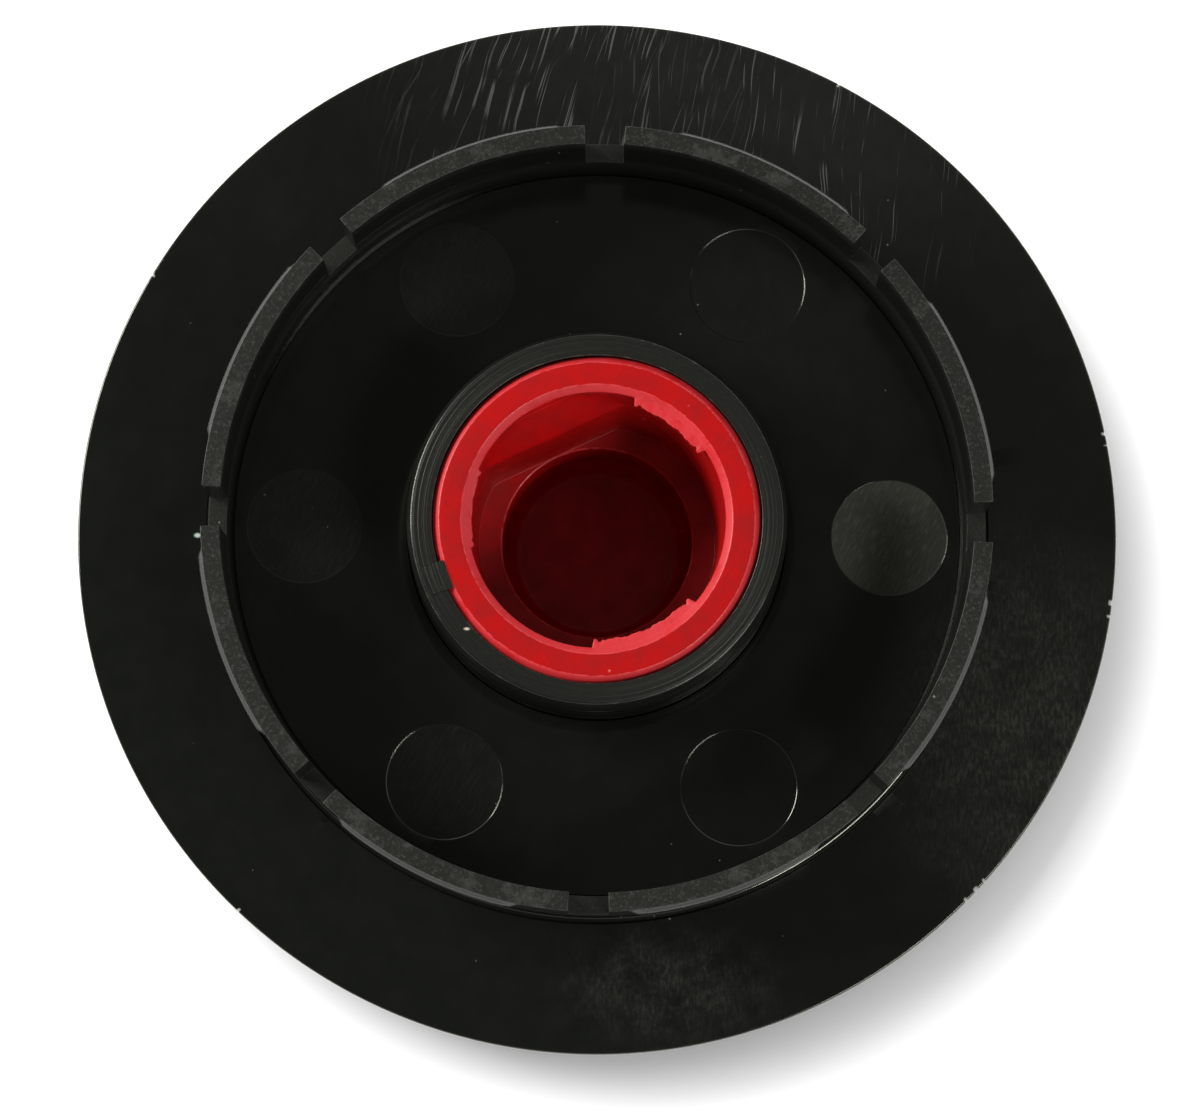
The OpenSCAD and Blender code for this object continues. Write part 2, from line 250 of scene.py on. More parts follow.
def outline(corners, count, closed=False):
    """Softened path of points (r, z) for each column, and each point's share of edge wear.

    The rows in corners are Corner's values."""
    corners = [Corner(*corner) for corner in corners]
    place = np.array([[np.broadcast_to(np.asarray(value, float), count) for value in corner[:2]]
                      for corner in corners]).transpose(0, 2, 1)
    last = len(corners) - 1
    groups = []
    for k, corner in enumerate(corners):
        here = place[k]
        if not corner.steps or (not closed and k in (0, last)):
            groups.append(([here], [0.0]))
            continue
        ends = []
        for other in (place[k - 1], place[(k + 1) % len(corners)]):
            side = other - here
            reach = np.maximum(np.linalg.norm(side, axis=1), 1e-6)[:, None]
            ends.append(here + side / reach * np.minimum(corner.soft, 0.45 * reach))
        shares = np.linspace(0, 1, corner.steps + 1)
        points = [(1 - t) ** 2 * ends[0] + 2 * t * (1 - t) * here + t * t * ends[1] for t in shares]
        groups.append((points, [4 * t * (1 - t) * corner.wear for t in shares]))
    path, wear = [], []
    for k, (points, worn) in enumerate(groups):
        path += points
        wear += worn
        if corners[k].cuts and (closed or k < last):
            following = groups[(k + 1) % len(groups)][0][0]
            for t in np.linspace(0, 1, corners[k].cuts + 2)[1:-1]:
                path.append(points[-1] * (1 - t) + following * t)
                wear.append(0.0)
    return np.stack(path, 1), np.array(wear)


class Shape:
    """A mesh under construction, with a wear and a tone value at each point."""

    def __init__(self):
        self.bm = bmesh.new()
        self.wear = self.bm.verts.layers.float.new("wear")
        self.tone = self.bm.verts.layers.float.new("tone")

    def point(self, x, y, z, wear=0.0, tone=0.0):
        """Adds one point."""
        vert = self.bm.verts.new((x, y, z))
        vert[self.wear] = wear
        vert[self.tone] = tone
        return vert

    def face(self, verts):
        """Adds one face, unless two of its corners are the same point."""
        verts = list(dict.fromkeys(verts))
        if len(verts) > 2:
            self.bm.faces.new(verts)

    def skin(self, rings):
        """Joins each closed ring of points to the next one."""
        for lower, upper in zip(rings, rings[1:]):
            for i in range(len(lower)):
                k = (i + 1) % len(lower)
                self.face([lower[i], lower[k], upper[k], upper[i]])

    def sweep(self, angles, path, wear, closed=False, tone=None):
        """Carries an outline round the axis, and closes the poles. Returns the rings of points."""
        x = path[..., 0] * np.cos(angles)[:, None]
        y = path[..., 0] * np.sin(angles)[:, None]
        worn = np.broadcast_to(wear, x.shape)
        shade = np.zeros(x.shape) if tone is None else tone
        rings = []
        for j in range(path.shape[1]):
            if np.all(path[:, j, 0] < 1e-6):
                pole = self.point(0.0, 0.0, path[0, j, 1])
                rings.append([pole] * len(angles))
            else:
                rings.append([self.point(x[i, j], y[i, j], path[i, j, 1], worn[i, j], shade[i, j])
                              for i in range(len(angles))])
        self.skin(rings + rings[:1] if closed else rings)
        return rings

    def stack(self, pit, levels, steps, start=True):
        """Rounded bar or disc from loops (offset, z), with its start closed or left open."""
        rings = []
        for offset, z in levels:
            loop = rounded_bar(pit, offset, steps)
            worn = 0.6 if 0 < len(rings) < len(levels) - 1 else 0.0
            shade = pit.tone if len(rings) > 2 else 0.0
            rings.append([self.point(x, y, z, worn, shade) for x, y in loop])
        self.skin(rings)
        if start:
            self.face(rings[0])
        self.face(rings[-1])

    def pitted_face(self, outer, inner, z, pits, side, steps):
        """Flat face between two loops of points (x, y), or inside one, with sunk round pits.

        side is 1 where the face looks up and -1 where it looks down."""
        loops = [outer] + ([inner] if inner is not None else [])
        loops += [rounded_bar(pit, 0.06, steps) for pit in pits]
        flat = [Vector(p) for loop in loops for p in loop]
        edges, first = [], 0
        for loop in loops:
            edges += [(first + i, first + (i + 1) % len(loop)) for i in range(len(loop))]
            first += len(loop)
        verts, _, faces, _, _, _ = geometry.delaunay_2d_cdt(flat, edges, [], 0, 1e-5)
        made = [self.point(v.x, v.y, z) for v in verts]
        holes = loops[1:]
        for tri in faces:
            middle = sum((verts[i] for i in tri), Vector((0, 0))) / len(tri)
            if inside(middle, outer) and not any(inside(middle, hole) for hole in holes):
                self.face([made[i] for i in tri])
        for pit in pits:
            drop = min(0.06, pit.depth * 0.4)
            levels = [(0.06, z), (0.01, z - side * drop * 0.3), (-0.02, z - side * drop),
                      (-0.05, z - side * (pit.depth - drop)), (-0.1, z - side * pit.depth)]
            self.stack(pit, levels, steps, start=False)

    def mesh(self, name):
        """Closes the seams, turns the faces outwards and returns the mesh in metres."""
        bmesh.ops.remove_doubles(self.bm, verts=self.bm.verts, dist=WELD)
        bmesh.ops.dissolve_degenerate(self.bm, edges=self.bm.edges, dist=WELD * 0.5)
        bmesh.ops.recalc_face_normals(self.bm, faces=self.bm.faces)
        for face in self.bm.faces:
            face.smooth = True
        bmesh.ops.scale(self.bm, vec=(MM, MM, MM), verts=self.bm.verts)
        made = bpy.data.meshes.new(name)
        self.bm.to_mesh(made)
        self.bm.free()
        return made


def rounded_bar(pit, offset, steps):
    """Loop of points (x, y) round a pit's outline, drawn in or out by an offset."""
    along = math.atan2(pit.y1 - pit.y0, pit.x1 - pit.x0)
    radius = pit.radius + offset
    loop = []
    for end, (x, y) in enumerate(((pit.x1, pit.y1), (pit.x0, pit.y0))):
        for k in range(steps // 2):
            turn = along + math.pi * (end + (k + 0.5) / (steps // 2) - 0.5)
            loop.append((x + radius * math.cos(turn), y + radius * math.sin(turn)))
    return loop


def inside(point, loop):
    """True where a point lies inside a loop of points."""
    odd = False
    for (xa, ya), (xb, yb) in zip(loop, loop[1:] + loop[:1]):
        if (ya > point[1]) != (yb > point[1]):
            odd ^= point[0] < xa + (point[1] - ya) / (yb - ya) * (xb - xa)
    return odd


def round_pit(angle, place, radius, depth, tone=0.0):
    """A round pit at an angle in degrees and a distance from the axis."""
    x, y = place * math.cos(math.radians(angle)), place * math.sin(math.radians(angle))
    return Pit(x, y, x, y, radius, depth, tone)


def circle(angles, radius):
    """Loop of points (x, y) at the columns."""
    radius = np.broadcast_to(radius, angles.shape)
    return [(r * math.cos(a), r * math.sin(a)) for r, a in zip(radius, angles)]


# Pieces

def plain_copy(thing):
    """The mesh that an object's modifiers make."""
    bpy.context.view_layer.update()
    graph = bpy.context.evaluated_depsgraph_get()
    return bpy.data.meshes.new_from_object(thing.evaluated_get(graph), depsgraph=graph)


def add_piece(name, mesh, body, node, finish):
    """Puts a mesh in the scene as a finished piece that rides on a body and replaces a node."""
    thing = bpy.data.objects.new(name, mesh)
    bpy.context.scene.collection.objects.link(thing)
    even = thing.modifiers.new("Even shading", "WEIGHTED_NORMAL")
    even.mode = "FACE_AREA"
    even.weight = 50
    thing.data = plain_copy(thing)
    thing.modifiers.clear()
    thing.data.materials.clear()
    thing.data.materials.append(material(finish))
    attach(thing, body)
    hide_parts(node)


def grow(name, tree, values):
    """The plain mesh that a geometry tree makes with some named values."""
    seed = bpy.data.meshes.new(name + "_seed")
    thing = bpy.data.objects.new(name + "_seed", seed)
    maker = thing.modifiers.new("Maker", "NODES")
    maker.node_group = tree
    for item in tree.interface.items_tree:
        if item.item_type == "SOCKET" and item.in_out == "INPUT" and item.name in values:
            value = values[item.name]
            if item.name == "Piece":
                thing.data = value
            else:
                maker[item.identifier] = value
    bpy.context.scene.collection.objects.link(thing)
    made = plain_copy(thing)
    bpy.data.objects.remove(thing)
    return made


# Node trees

class Nodes:
    """Adds nodes to a tree and joins them."""

    def __init__(self, tree):
        self.tree = tree
        tree.nodes.clear()

    def put(self, socket, value):
        """Joins a socket to another one, or sets its value."""
        if isinstance(value, bpy.types.NodeSocket):
            self.tree.links.new(value, socket)
        else:
            socket.default_value = value

    def add(self, kind, settings=None, **inputs):
        """Adds a node. An underscore in an input's name stands for a space."""
        node = self.tree.nodes.new(kind)
        for key, value in (settings or {}).items():
            setattr(node, key, value)
        for key, value in inputs.items():
            self.put(node.inputs[key.replace("_", " ")], value)
        return node

    def math(self, operation, *values):
        """A sum or other operation on numbers."""
        node = self.add("ShaderNodeMath", {"operation": operation})
        for socket, value in zip(node.inputs, values):
            self.put(socket, value)
        return node.outputs[0]

    def times(self, *values):
        """Product of two or more numbers."""
        made = values[0]
        for value in values[1:]:
            made = self.math("MULTIPLY", made, value)
        return made

    def plus(self, a, b):
        """Sum of two numbers."""
        return self.math("ADD", a, b)

    def less(self, a, b):
        """First number less the second."""
        return self.math("SUBTRACT", a, b)

    def vector_math(self, operation, *values):
        """An operation on vectors."""
        node = self.add("ShaderNodeVectorMath", {"operation": operation})
        for socket, value in zip(node.inputs, values):
            self.put(socket, value)
        return node.outputs["Value" if operation in ("LENGTH", "DISTANCE") else "Vector"]

    def span(self, value, low, high, start=0.0, end=1.0):
        """Maps a span of values to another, smoothly and without going past its ends."""
        node = self.add("ShaderNodeMapRange", {"interpolation_type": "SMOOTHSTEP"}, Value=value)
        names = ("From Min", "From Max", "To Min", "To Max")
        for key, number in zip(names, (low, high, start, end)):
            self.put(node.inputs[key], number)
        return node.outputs[0]

    def mix(self, share, a, b):
        """Mixes two colours."""
        node = self.add("ShaderNodeMix", {"data_type": "RGBA"})
        for index, value in ((0, share), (6, a), (7, b)):
            self.put(node.inputs[index], value)
        return node.outputs[2]

    def noise(self, place, scale, detail=3.0, rough=0.55):
        """Noise from 0 to 1."""
        return self.add("ShaderNodeTexNoise", Vector=place, Scale=scale, Detail=detail,
                        Roughness=rough).outputs[0]

    def group(self, tree, **inputs):
        """Places a node group and returns its outputs."""
        node = self.tree.nodes.new("ShaderNodeGroup")
        node.node_tree = tree
        for key, value in inputs.items():
            self.put(node.inputs[key.replace("_", " ")], value)
        return node.outputs


def new_tree(name, kind, inputs, outputs):
    """A node group with named sockets. Returns the tree, its nodes, its inputs and its outputs."""
    tree = bpy.data.node_groups.new(name, kind)
    for label, socket, default in inputs:
        made = tree.interface.new_socket(label, in_out="INPUT", socket_type="NodeSocket" + socket)
        if default is not None:
            made.default_value = default
    for label, socket in outputs:
        tree.interface.new_socket(label, in_out="OUTPUT", socket_type="NodeSocket" + socket)
    nodes = Nodes(tree)
    return tree, nodes, nodes.add("NodeGroupInput").outputs, nodes.add("NodeGroupOutput").inputs


def grain_group():
    """Fine moulded grain: a height for bump and a coarser mottle."""
    tree, n, given, out = new_tree(
        "Moulded grain", "ShaderNodeTree",
        [("Vector", "Vector", None), ("Scale", "Float", 4000.0)],
        [("Height", "Float"), ("Mottle", "Float")])
    fine = n.noise(given["Vector"], given["Scale"], 4.0, 0.7)
    n.put(out["Height"], fine)
    coarse = n.noise(given["Vector"], n.times(given["Scale"], 0.12), 5.0, 0.65)
    n.put(out["Mottle"], n.span(coarse, 0.3, 0.7))
    return tree


def dust_group():
    """Scattered specks, each in its own cell."""
    tree, n, given, out = new_tree(
        "Dust specks", "ShaderNodeTree",
        [("Vector", "Vector", None), ("Scale", "Float", 400.0), ("Share", "Float", 0.1),
         ("Size", "Float", 0.12)], [("Mask", "Float")])
    cells = n.add("ShaderNodeTexVoronoi", Vector=given["Vector"], Scale=given["Scale"])
    split = n.add("ShaderNodeSeparateColor", Color=cells.outputs["Color"])
    chosen = n.math("LESS_THAN", split.outputs[0], given["Share"])
    size = n.times(given["Size"], n.plus(split.outputs[1], 0.25))
    ragged = n.plus(cells.outputs["Distance"],
                    n.times(n.noise(given["Vector"], 9000.0), 0.08))
    close = n.span(ragged, n.plus(size, 0.07), size)
    n.put(out["Mask"], n.times(chosen, close))
    return tree


def scratch_group():
    """Thin scratches along one direction in the plate's plane, broken up along their length."""
    tree, n, given, out = new_tree(
        "Fine scratches", "ShaderNodeTree",
        [("Vector", "Vector", None), ("Turn", "Float", 0.0), ("Scale", "Float", 900.0),
         ("Share", "Float", 0.4)], [("Mask", "Float")])
    turn = n.add("ShaderNodeCombineXYZ", Z=given["Turn"])
    turned = n.add("ShaderNodeVectorRotate", {"rotation_type": "EULER_XYZ"}, Vector=given["Vector"],
                   Rotation=turn.outputs[0])
    drift = n.add("ShaderNodeTexNoise", Vector=given["Vector"], Scale=60.0).outputs["Color"]
    sideways = n.vector_math("MULTIPLY", drift, (0.003, 0.0, 0.0))
    bent = n.vector_math("ADD", turned.outputs[0], sideways)
    drawn = n.vector_math("MULTIPLY", bent, (1.0, 0.02, 1.0))
    lines = n.noise(drawn, given["Scale"], 2.0, 0.6)
    low = n.less(0.78, n.times(given["Share"], 0.25))
    mask = n.span(lines, low, n.plus(low, 0.07))
    patches = n.noise(turned.outputs[0], n.times(given["Scale"], 0.05), 2.0)
    n.put(out["Mask"], n.times(mask, n.span(patches, 0.4, 0.55)))
    return tree


def wear_group():
    """Worn edges, broken up by noise."""
    tree, n, given, out = new_tree(
        "Edge wear", "ShaderNodeTree",
        [("Vector", "Vector", None), ("Wear", "Float", 0.0), ("Scale", "Float", 900.0),
         ("Share", "Float", 0.5)], [("Mask", "Float")])
    patches = n.noise(given["Vector"], given["Scale"], 6.0, 0.7)
    low = n.less(0.75, n.times(given["Share"], 0.45))
    kept = n.span(patches, low, n.plus(low, 0.12))
    n.put(out["Mask"], n.times(n.span(given["Wear"], 0.25, 0.9), kept))
    return tree


def smudge_group():
    """A soft smudged patch round a centre."""
    tree, n, given, out = new_tree(
        "Smudge", "ShaderNodeTree",
        [("Vector", "Vector", None), ("Centre", "Vector", (0.0, 0.0, 0.0)),
         ("Reach", "Vector", (0.01, 0.01, 1.0)), ("Scale", "Float", 250.0),
         ("Cloud", "Float", 1.0)], [("Mask", "Float")])
    offset = n.vector_math("SUBTRACT", given["Vector"], given["Centre"])
    spread = n.vector_math("LENGTH", n.vector_math("DIVIDE", offset, given["Reach"]))
    cloud = n.span(n.noise(given["Vector"], given["Scale"], 6.0, 0.75), 0.3, 0.75)
    kept = n.less(1.0, n.times(given["Cloud"], n.less(1.0, cloud)))
    n.put(out["Mask"], n.times(n.span(spread, 1.0, 0.2), kept))
    return tree


SHARED = {"grain": grain_group, "dust": dust_group, "scratch": scratch_group, "wear": wear_group,
          "smudge": smudge_group}


def shared(name):
    """A shared node group, built the first time that a material asks for it."""
    made = SHARED[name]
    if callable(made):
        made = SHARED[name] = made()
    return made


class Finish:
    """A material under construction, with its coordinates and piece attributes at hand."""

    def __init__(self, name):
        self.material = bpy.data.materials.new(name)
        self.material.use_nodes = True
        self.n = Nodes(self.material.node_tree)
        self.place = self.n.add("ShaderNodeTexCoord").outputs["Object"]

    def attribute(self, name):
        """A value stored on the piece's points."""
        return self.n.add("ShaderNodeAttribute", {"attribute_name": name}).outputs["Fac"]

    def mask(self, kind, **inputs):
        """The mask of a shared group."""
        return self.n.group(shared(kind), Vector=self.place, **inputs)["Mask"]

    def scratches(self, *layers):
        """Two sets of scratches. A set is (turn, scale, share)."""
        return self.n.math("MAXIMUM", *[self.mask("scratch", Turn=turn, Scale=scale, Share=share)
                                        for turn, scale, share in layers])

    def patch(self, x, y, across, along, cloud=0.0, scale=250.0):
        """A smudged patch round a place on the plate."""
        return self.mask("smudge", Centre=(x, y, 0.0), Reach=(across, along, 1.0), Cloud=cloud,
                         Scale=scale)

    def coats(self, base, *layers):
        """Lays colours over a base colour. A layer is (mask, share, colour)."""
        base = rgba(base)
        for mask, share, tint in layers:
            base = self.n.mix(self.n.times(mask, share), base, rgba(tint))
        return base

    def rough(self, value, *changes):
        """Roughness, changed by masks. A change is (mask, how much it adds)."""
        for mask, more in changes:
            value = self.n.plus(value, self.n.times(mask, more))
        return value

    def bump(self, height, strength, distance, normal=None):
        """Bump from a height."""
        node = self.n.add("ShaderNodeBump", Height=height, Strength=strength, Distance=distance)
        if normal is not None:
            self.n.put(node.inputs["Normal"], normal)
        return node.outputs[0]

    def surface(self, base, rough, normal, **plain):
        """Closes the material with its surface shader."""
        shader = self.n.add("ShaderNodeBsdfPrincipled", Base_Color=base, Roughness=rough,
                            Normal=normal, **plain)
        self.out = self.n.add("ShaderNodeOutputMaterial", Surface=shader.outputs[0])
        return self.material


def rgba(value):
    """A colour with full alpha."""
    return (*value, 1.0)


def finish_settings():
    """The finish settings of the scene."""
    return bpy.context.scene.seacock.finish


def gloss_black(name):
    """Glossy black moulding, with hairline scratches, smudges, dust and dull ejector marks."""
    f = Finish(name)
    n, look = f.n, finish_settings()
    grain = n.group(shared("grain"), Vector=f.place, Scale=2500.0)
    mark, nicks = f.attribute("tone"), f.attribute("nick")
    back = n.span(n.add("ShaderNodeSeparateXYZ", Vector=f.place).outputs["Z"], -0.0012, -0.0006)
    outside = n.times(back, n.span(n.vector_math("LENGTH", f.place), 0.0355, 0.039))
    fan = f.scratches((0.23, 3200.0, 0.85), (0.42, 2800.0, 0.6))
    upright = f.scratches((0.04, 3400.0, 0.65), (0.12, 2600.0, 0.6))
    top_left = f.patch(-0.004, 0.044, 0.022, 0.022)
    top_right = f.patch(0.018, 0.038, 0.024, 0.026)
    hairs = n.times(n.math("MAXIMUM", n.times(fan, top_left), n.times(upright, top_right)), outside)
    loose = f.mask("scratch", Turn=1.1, Scale=700.0, Share=0.18)
    streaks = n.vector_math("MULTIPLY", f.place, (1.0, 0.3, 1.0))
    rubbed = n.span(n.noise(streaks, 3400.0, 4.0, 0.7), 0.35, 0.75)
    smears = n.plus(f.patch(0.0415, -0.018, 0.017, 0.025, 0.7, 210.0),
                    f.patch(0.008, -0.044, 0.014, 0.008, 1.0, 300.0))
    grime = n.times(back, n.plus(0.25, rubbed), smears)
    cloud = n.times(n.plus(top_left, top_right), n.noise(f.place, 700.0, 6.0, 0.7))
    veil = n.times(outside, cloud)
    chip = f.patch(-0.0392, -0.0012, 0.00048, 0.00032)
    haze = n.span(n.noise(f.place, 120.0, 5.0, 0.6), 0.45, 0.8)
    specks = f.mask("dust", Scale=640.0, Share=0.06 + 0.06 * look.dust, Size=0.06)
    edges = f.mask("wear", Wear=f.attribute("wear"), Scale=700.0, Share=0.25 * look.wear)
    slant = n.add("ShaderNodeVectorRotate", {"rotation_type": "EULER_XYZ"}, Vector=f.place,
                  Rotation=(0.0, 0.0, 0.5))
    brushed = n.noise(n.vector_math("MULTIPLY", slant.outputs[0], (1.0, 0.12, 1.0)), 6500.0, 3.0)
    base = f.coats(look.gloss_black,
                   (grain["Mottle"], 0.35, (0.009, 0.0095, 0.0085)),
                   (mark, 0.75, (0.024, 0.0245, 0.019)),
                   (veil, 0.3, (0.026, 0.027, 0.026)),
                   (hairs, 0.75, (0.085, 0.085, 0.08)),
                   (loose, 0.1, (0.06, 0.06, 0.055)),
                   (grime, 0.75, (0.032, 0.032, 0.027)),
                   (specks, 0.7, (0.16, 0.16, 0.15)),
                   (edges, 0.4, (0.12, 0.12, 0.11)),
                   (nicks, 0.7, (0.4, 0.4, 0.38)),
                   (chip, 1.0, (0.5, 0.62, 0.52)),
                   (mark, n.span(brushed, 0.45, 0.72, 0.0, 0.75), (0.06, 0.062, 0.054)))
    rough = f.rough(0.13, (haze, 0.05), (mark, 0.42), (grime, 0.3), (hairs, 0.3), (specks, 0.5),
                    (edges, 0.3), (nicks, 0.5))
    height = n.plus(n.times(grain["Height"], 0.2), n.times(brushed, mark))
    return f.surface(base, rough, f.bump(height, 0.25, 0.00004), IOR=1.5,
                     Specular_Tint=(1.0, 1.0, 0.84, 1.0))


def satin_black(name):
    """Matt black moulding with grain, painted glints on its top faces, light specks, polished paler
    edges, a painted highlight on the sleeve's thread crests, and turned lines.
    """
    f = Finish(name)
    n, look = f.n, finish_settings()
    grain = n.group(shared("grain"), Vector=f.place, Scale=3900.0)
    specks = f.mask("dust", Scale=900.0, Share=0.03 + 0.06 * look.dust, Size=0.1)
    tone, polish = f.attribute("tone"), f.attribute("wear")
    # Edge wear pales the colour. On the sleeve's thread crests toward 318 degrees it is also a
    # painted highlight.
    edges = f.mask("wear", Wear=polish, Scale=420.0, Share=look.wear)
    chip = f.patch(-0.0122, -0.0109, 0.0004, 0.0002)
    # Painted glints: lighter grain specks standing in for the grain's sparkle under the lights, full
    # on the segment tops and weaker where the tone is higher.
    painted_glints = n.times(n.span(grain["Height"], 0.5, 0.72), n.less(1.0, tone))
    base = f.coats(look.satin_black,
                   (grain["Mottle"], 0.4, [v * 1.5 for v in look.satin_black]),
                   (painted_glints, 0.7, (0.045, 0.045, 0.039)),
                   (tone, 1.0, (0.0036, 0.0038, 0.0031)),
                   (specks, 0.6, (0.2, 0.2, 0.18)),
                   (edges, 0.4, (0.08, 0.08, 0.074)),
                   (chip, 1.0, (0.5, 0.42, 0.3)))
    rough = f.rough(0.48, (grain["Height"], 0.1), (edges, -0.12), (tone, -0.24), (polish, -0.14))
    height = n.times(grain["Height"], n.less(1.0, n.times(tone, 0.75)))
    turned = n.times(n.span(tone, 0.5, 0.6), n.span(tone, 0.98, 0.9))
    radius = n.vector_math("LENGTH", n.vector_math("MULTIPLY", f.place, (1.0, 1.0, 0.0)))
    lathe = n.noise(n.add("ShaderNodeCombineXYZ", X=radius).outputs[0], 4200.0, 2.0, 0.5)
    lines = f.bump(n.times(lathe, turned), 1.0, 0.00011)
    return f.surface(base, rough, f.bump(height, 0.32, 0.00006, lines), IOR=1.5,
                     Specular_IOR_Level=0.4, Specular_Tint=(1.0, 1.0, 0.88, 1.0))


def red_plastic(name):
    """Red moulding, paler on its chamfers and lug ledges, partly a frosted finish and partly painted
    sheen of the bright surroundings, with worn paler edges and fine rub marks.
    """
    f = Finish(name)
    n, look = f.n, finish_settings()
    grain = n.group(shared("grain"), Vector=f.place, Scale=3200.0)
    specks = f.mask("dust", Scale=700.0, Share=0.04 + 0.08 * look.dust, Size=0.12)
    pale, polish = f.attribute("tone"), f.attribute("wear")
    edges = f.mask("wear", Wear=polish, Scale=1500.0, Share=0.35 + 0.8 * look.wear)
    rubs = f.mask("scratch", Turn=0.5, Scale=1300.0, Share=0.3)
    # Paler chamfers and lug ledges: partly a frosted finish, partly painted sheen where the chamfers
    # mirror the bright surroundings.
    frost_and_sheen = n.times(pale, n.span(grain["Mottle"], -0.6, 0.7))
    base = f.coats(look.red,
                   (grain["Mottle"], 1.0, [v * 0.72 for v in look.red]),
                   (frost_and_sheen, 0.45, (0.7, 0.045, 0.055)),
                   (edges, 0.3, (0.8, 0.11, 0.12)),
                   (rubs, 0.12, (0.75, 0.1, 0.1)),
                   (specks, 0.35, (0.85, 0.35, 0.33)))
    rough = f.rough(0.34, (grain["Mottle"], 0.1), (polish, -0.2), (frost_and_sheen, 0.1))
    height = n.plus(grain["Height"], n.times(pale, n.noise(f.place, 2200.0, 4.0)))
    return f.surface(base, rough, f.bump(height, 0.2, 0.00006), IOR=1.49, Specular_IOR_Level=0.29)


def moulded(name, key, rough, scale, spread=1.35, bump=0.2, metal=0.0):
    """A small moulded or metal part: mottled colour, grain, specks and worn edges."""
    f = Finish(name)
    look = finish_settings()
    tint = getattr(look, key)
    grain = f.n.group(shared("grain"), Vector=f.place, Scale=scale)
    edges = f.mask("wear", Wear=f.attribute("wear"), Scale=1200.0, Share=look.wear)
    specks = f.mask("dust", Scale=900.0, Share=0.04, Size=0.1)
    lighter = [min(1.0, v * spread + 0.01) for v in tint]
    base = f.coats(tint, (grain["Mottle"], 0.5, lighter), (edges, 0.35, lighter),
                   (specks, 0.3, (0.4, 0.4, 0.38)))
    dull = f.rough(rough, (grain["Mottle"], 0.12))
    return f.surface(base, dull, f.bump(grain["Height"], bump, 0.00004), IOR=1.5, Metallic=metal)


MAKERS = {"Gloss black": gloss_black, "Satin black": satin_black, "Red plastic": red_plastic}
MOULDED = {
    "Seal rubber": ("rubber", 0.55, 6000.0, 1.6, 0.3),
    "Bright steel": ("steel", 0.2, 3000.0, 1.2, 0.1, 1.0),
    "Dial grey": ("dial", 0.42, 4200.0),
    "Closed red": ("closed", 0.3, 3000.0),
    "Open green": ("opened", 0.3, 3000.0),
    "Pointer white": ("pointer", 0.35, 3600.0, 0.9),
}


def material(name):
    """The finished material of that name, made when it is first asked for."""
    made = bpy.data.materials.get(name)
    if made is None:
        made = moulded(name, *MOULDED[name]) if name in MOULDED else MAKERS[name](name)
    return made


# Operators

class SEACOCK_OT_plate(bpy.types.Operator):
    """Builds the round plate with its ejector marks, relief groove and nicked rim"""
    bl_idname = "seacock.plate"
    bl_label = "Build plate"

    NICKS = ((12.2, 0.32, 0.12), (10.9, 0.16, 0.07), (-6.8, 0.45, 0.1), (-8.3, 0.2, 0.08),
             (-42.4, 0.45, 0.11), (-41.1, 0.2, 0.08), (-44.0, 0.3, 0.08), (63.0, 0.2, 0.05),
             (151.0, 0.2, 0.05), (228.0, 0.2, 0.06))
    MARKS = ((1.0, 1.0), (0.03, 0.7), (0.12, 0.12), (0.12, 0.15), (0.1, 0.6), (0.02, 0.5))

    def execute(self, context):
        s = in_mm(context.scene.seacock.plate)
        angles = columns(400, *[(a, w + 0.3, 0.14) for a, w, _ in self.NICKS])
        web_outer, web_inner, low = s.groove_radius - 2.4, s.hole_radius + 1.6, -s.thickness
        rounding = s.edge_radius
        corners = [
            (web_inner, 0.0),
            (s.hole_radius, 0.0, 0.12, 2),
            (s.hole_radius, low, 0.12, 2),
            (s.radius, low, rounding, 8, 1, 0.3),
            (s.radius, -s.chamfer, 0.07, 2, 0, 0.8),
            (s.radius - s.chamfer, 0.0, 0.07, 2, 0, 1.0),
            (s.radius - s.chamfer - 0.3, 0.0, 0.0, 0, 0, 0.0),
            (s.radius - s.chamfer - 0.45, 0.0, 0.0, 0, 2, 0.0),
            (s.groove_radius + s.groove_width, 0.0, 0.08, 2, 0, 0.3),
            (s.groove_radius + s.groove_width, -0.3, 0.08, 2, 0, 0.0),
            (s.groove_radius, -0.3),
            (s.groove_radius, 0.0, 0.05, 2),
            (web_outer, 0.0),
        ]
        path, wear = outline(corners, len(angles))
        nick = np.zeros(path.shape[:2])
        edge = (path[..., 0] > s.radius - 0.3) & (path[..., 1] > -0.4)
        for angle, width, depth in self.NICKS:
            bite = hump(away(angles, angle), width)[:, None] * edge
            path[..., 0] -= bite * depth
            path[..., 1] -= bite * depth * 0.5
            nick = np.maximum(nick, ease(bite, 0.25, 0.6))
        shape = Shape()
        layer = shape.bm.verts.layers.float.new("nick")
        rings = shape.sweep(angles, path, wear)
        for j, ring in enumerate(rings):
            for i, vert in enumerate(ring):
                vert[layer] = nick[i, j]
        pits = [round_pit(60 * k, s.mark_place, s.mark_radius, s.mark_depth * share, tone)
                for k, (tone, share) in enumerate(self.MARKS)]
        shape.pitted_face(circle(angles, web_outer), circle(angles, web_inner), 0.0, pits, 1, 72)
        add_piece("plate", shape.mesh("plate"), "housing", "flange_plate",
                  "Gloss black")
        return {"FINISHED"}


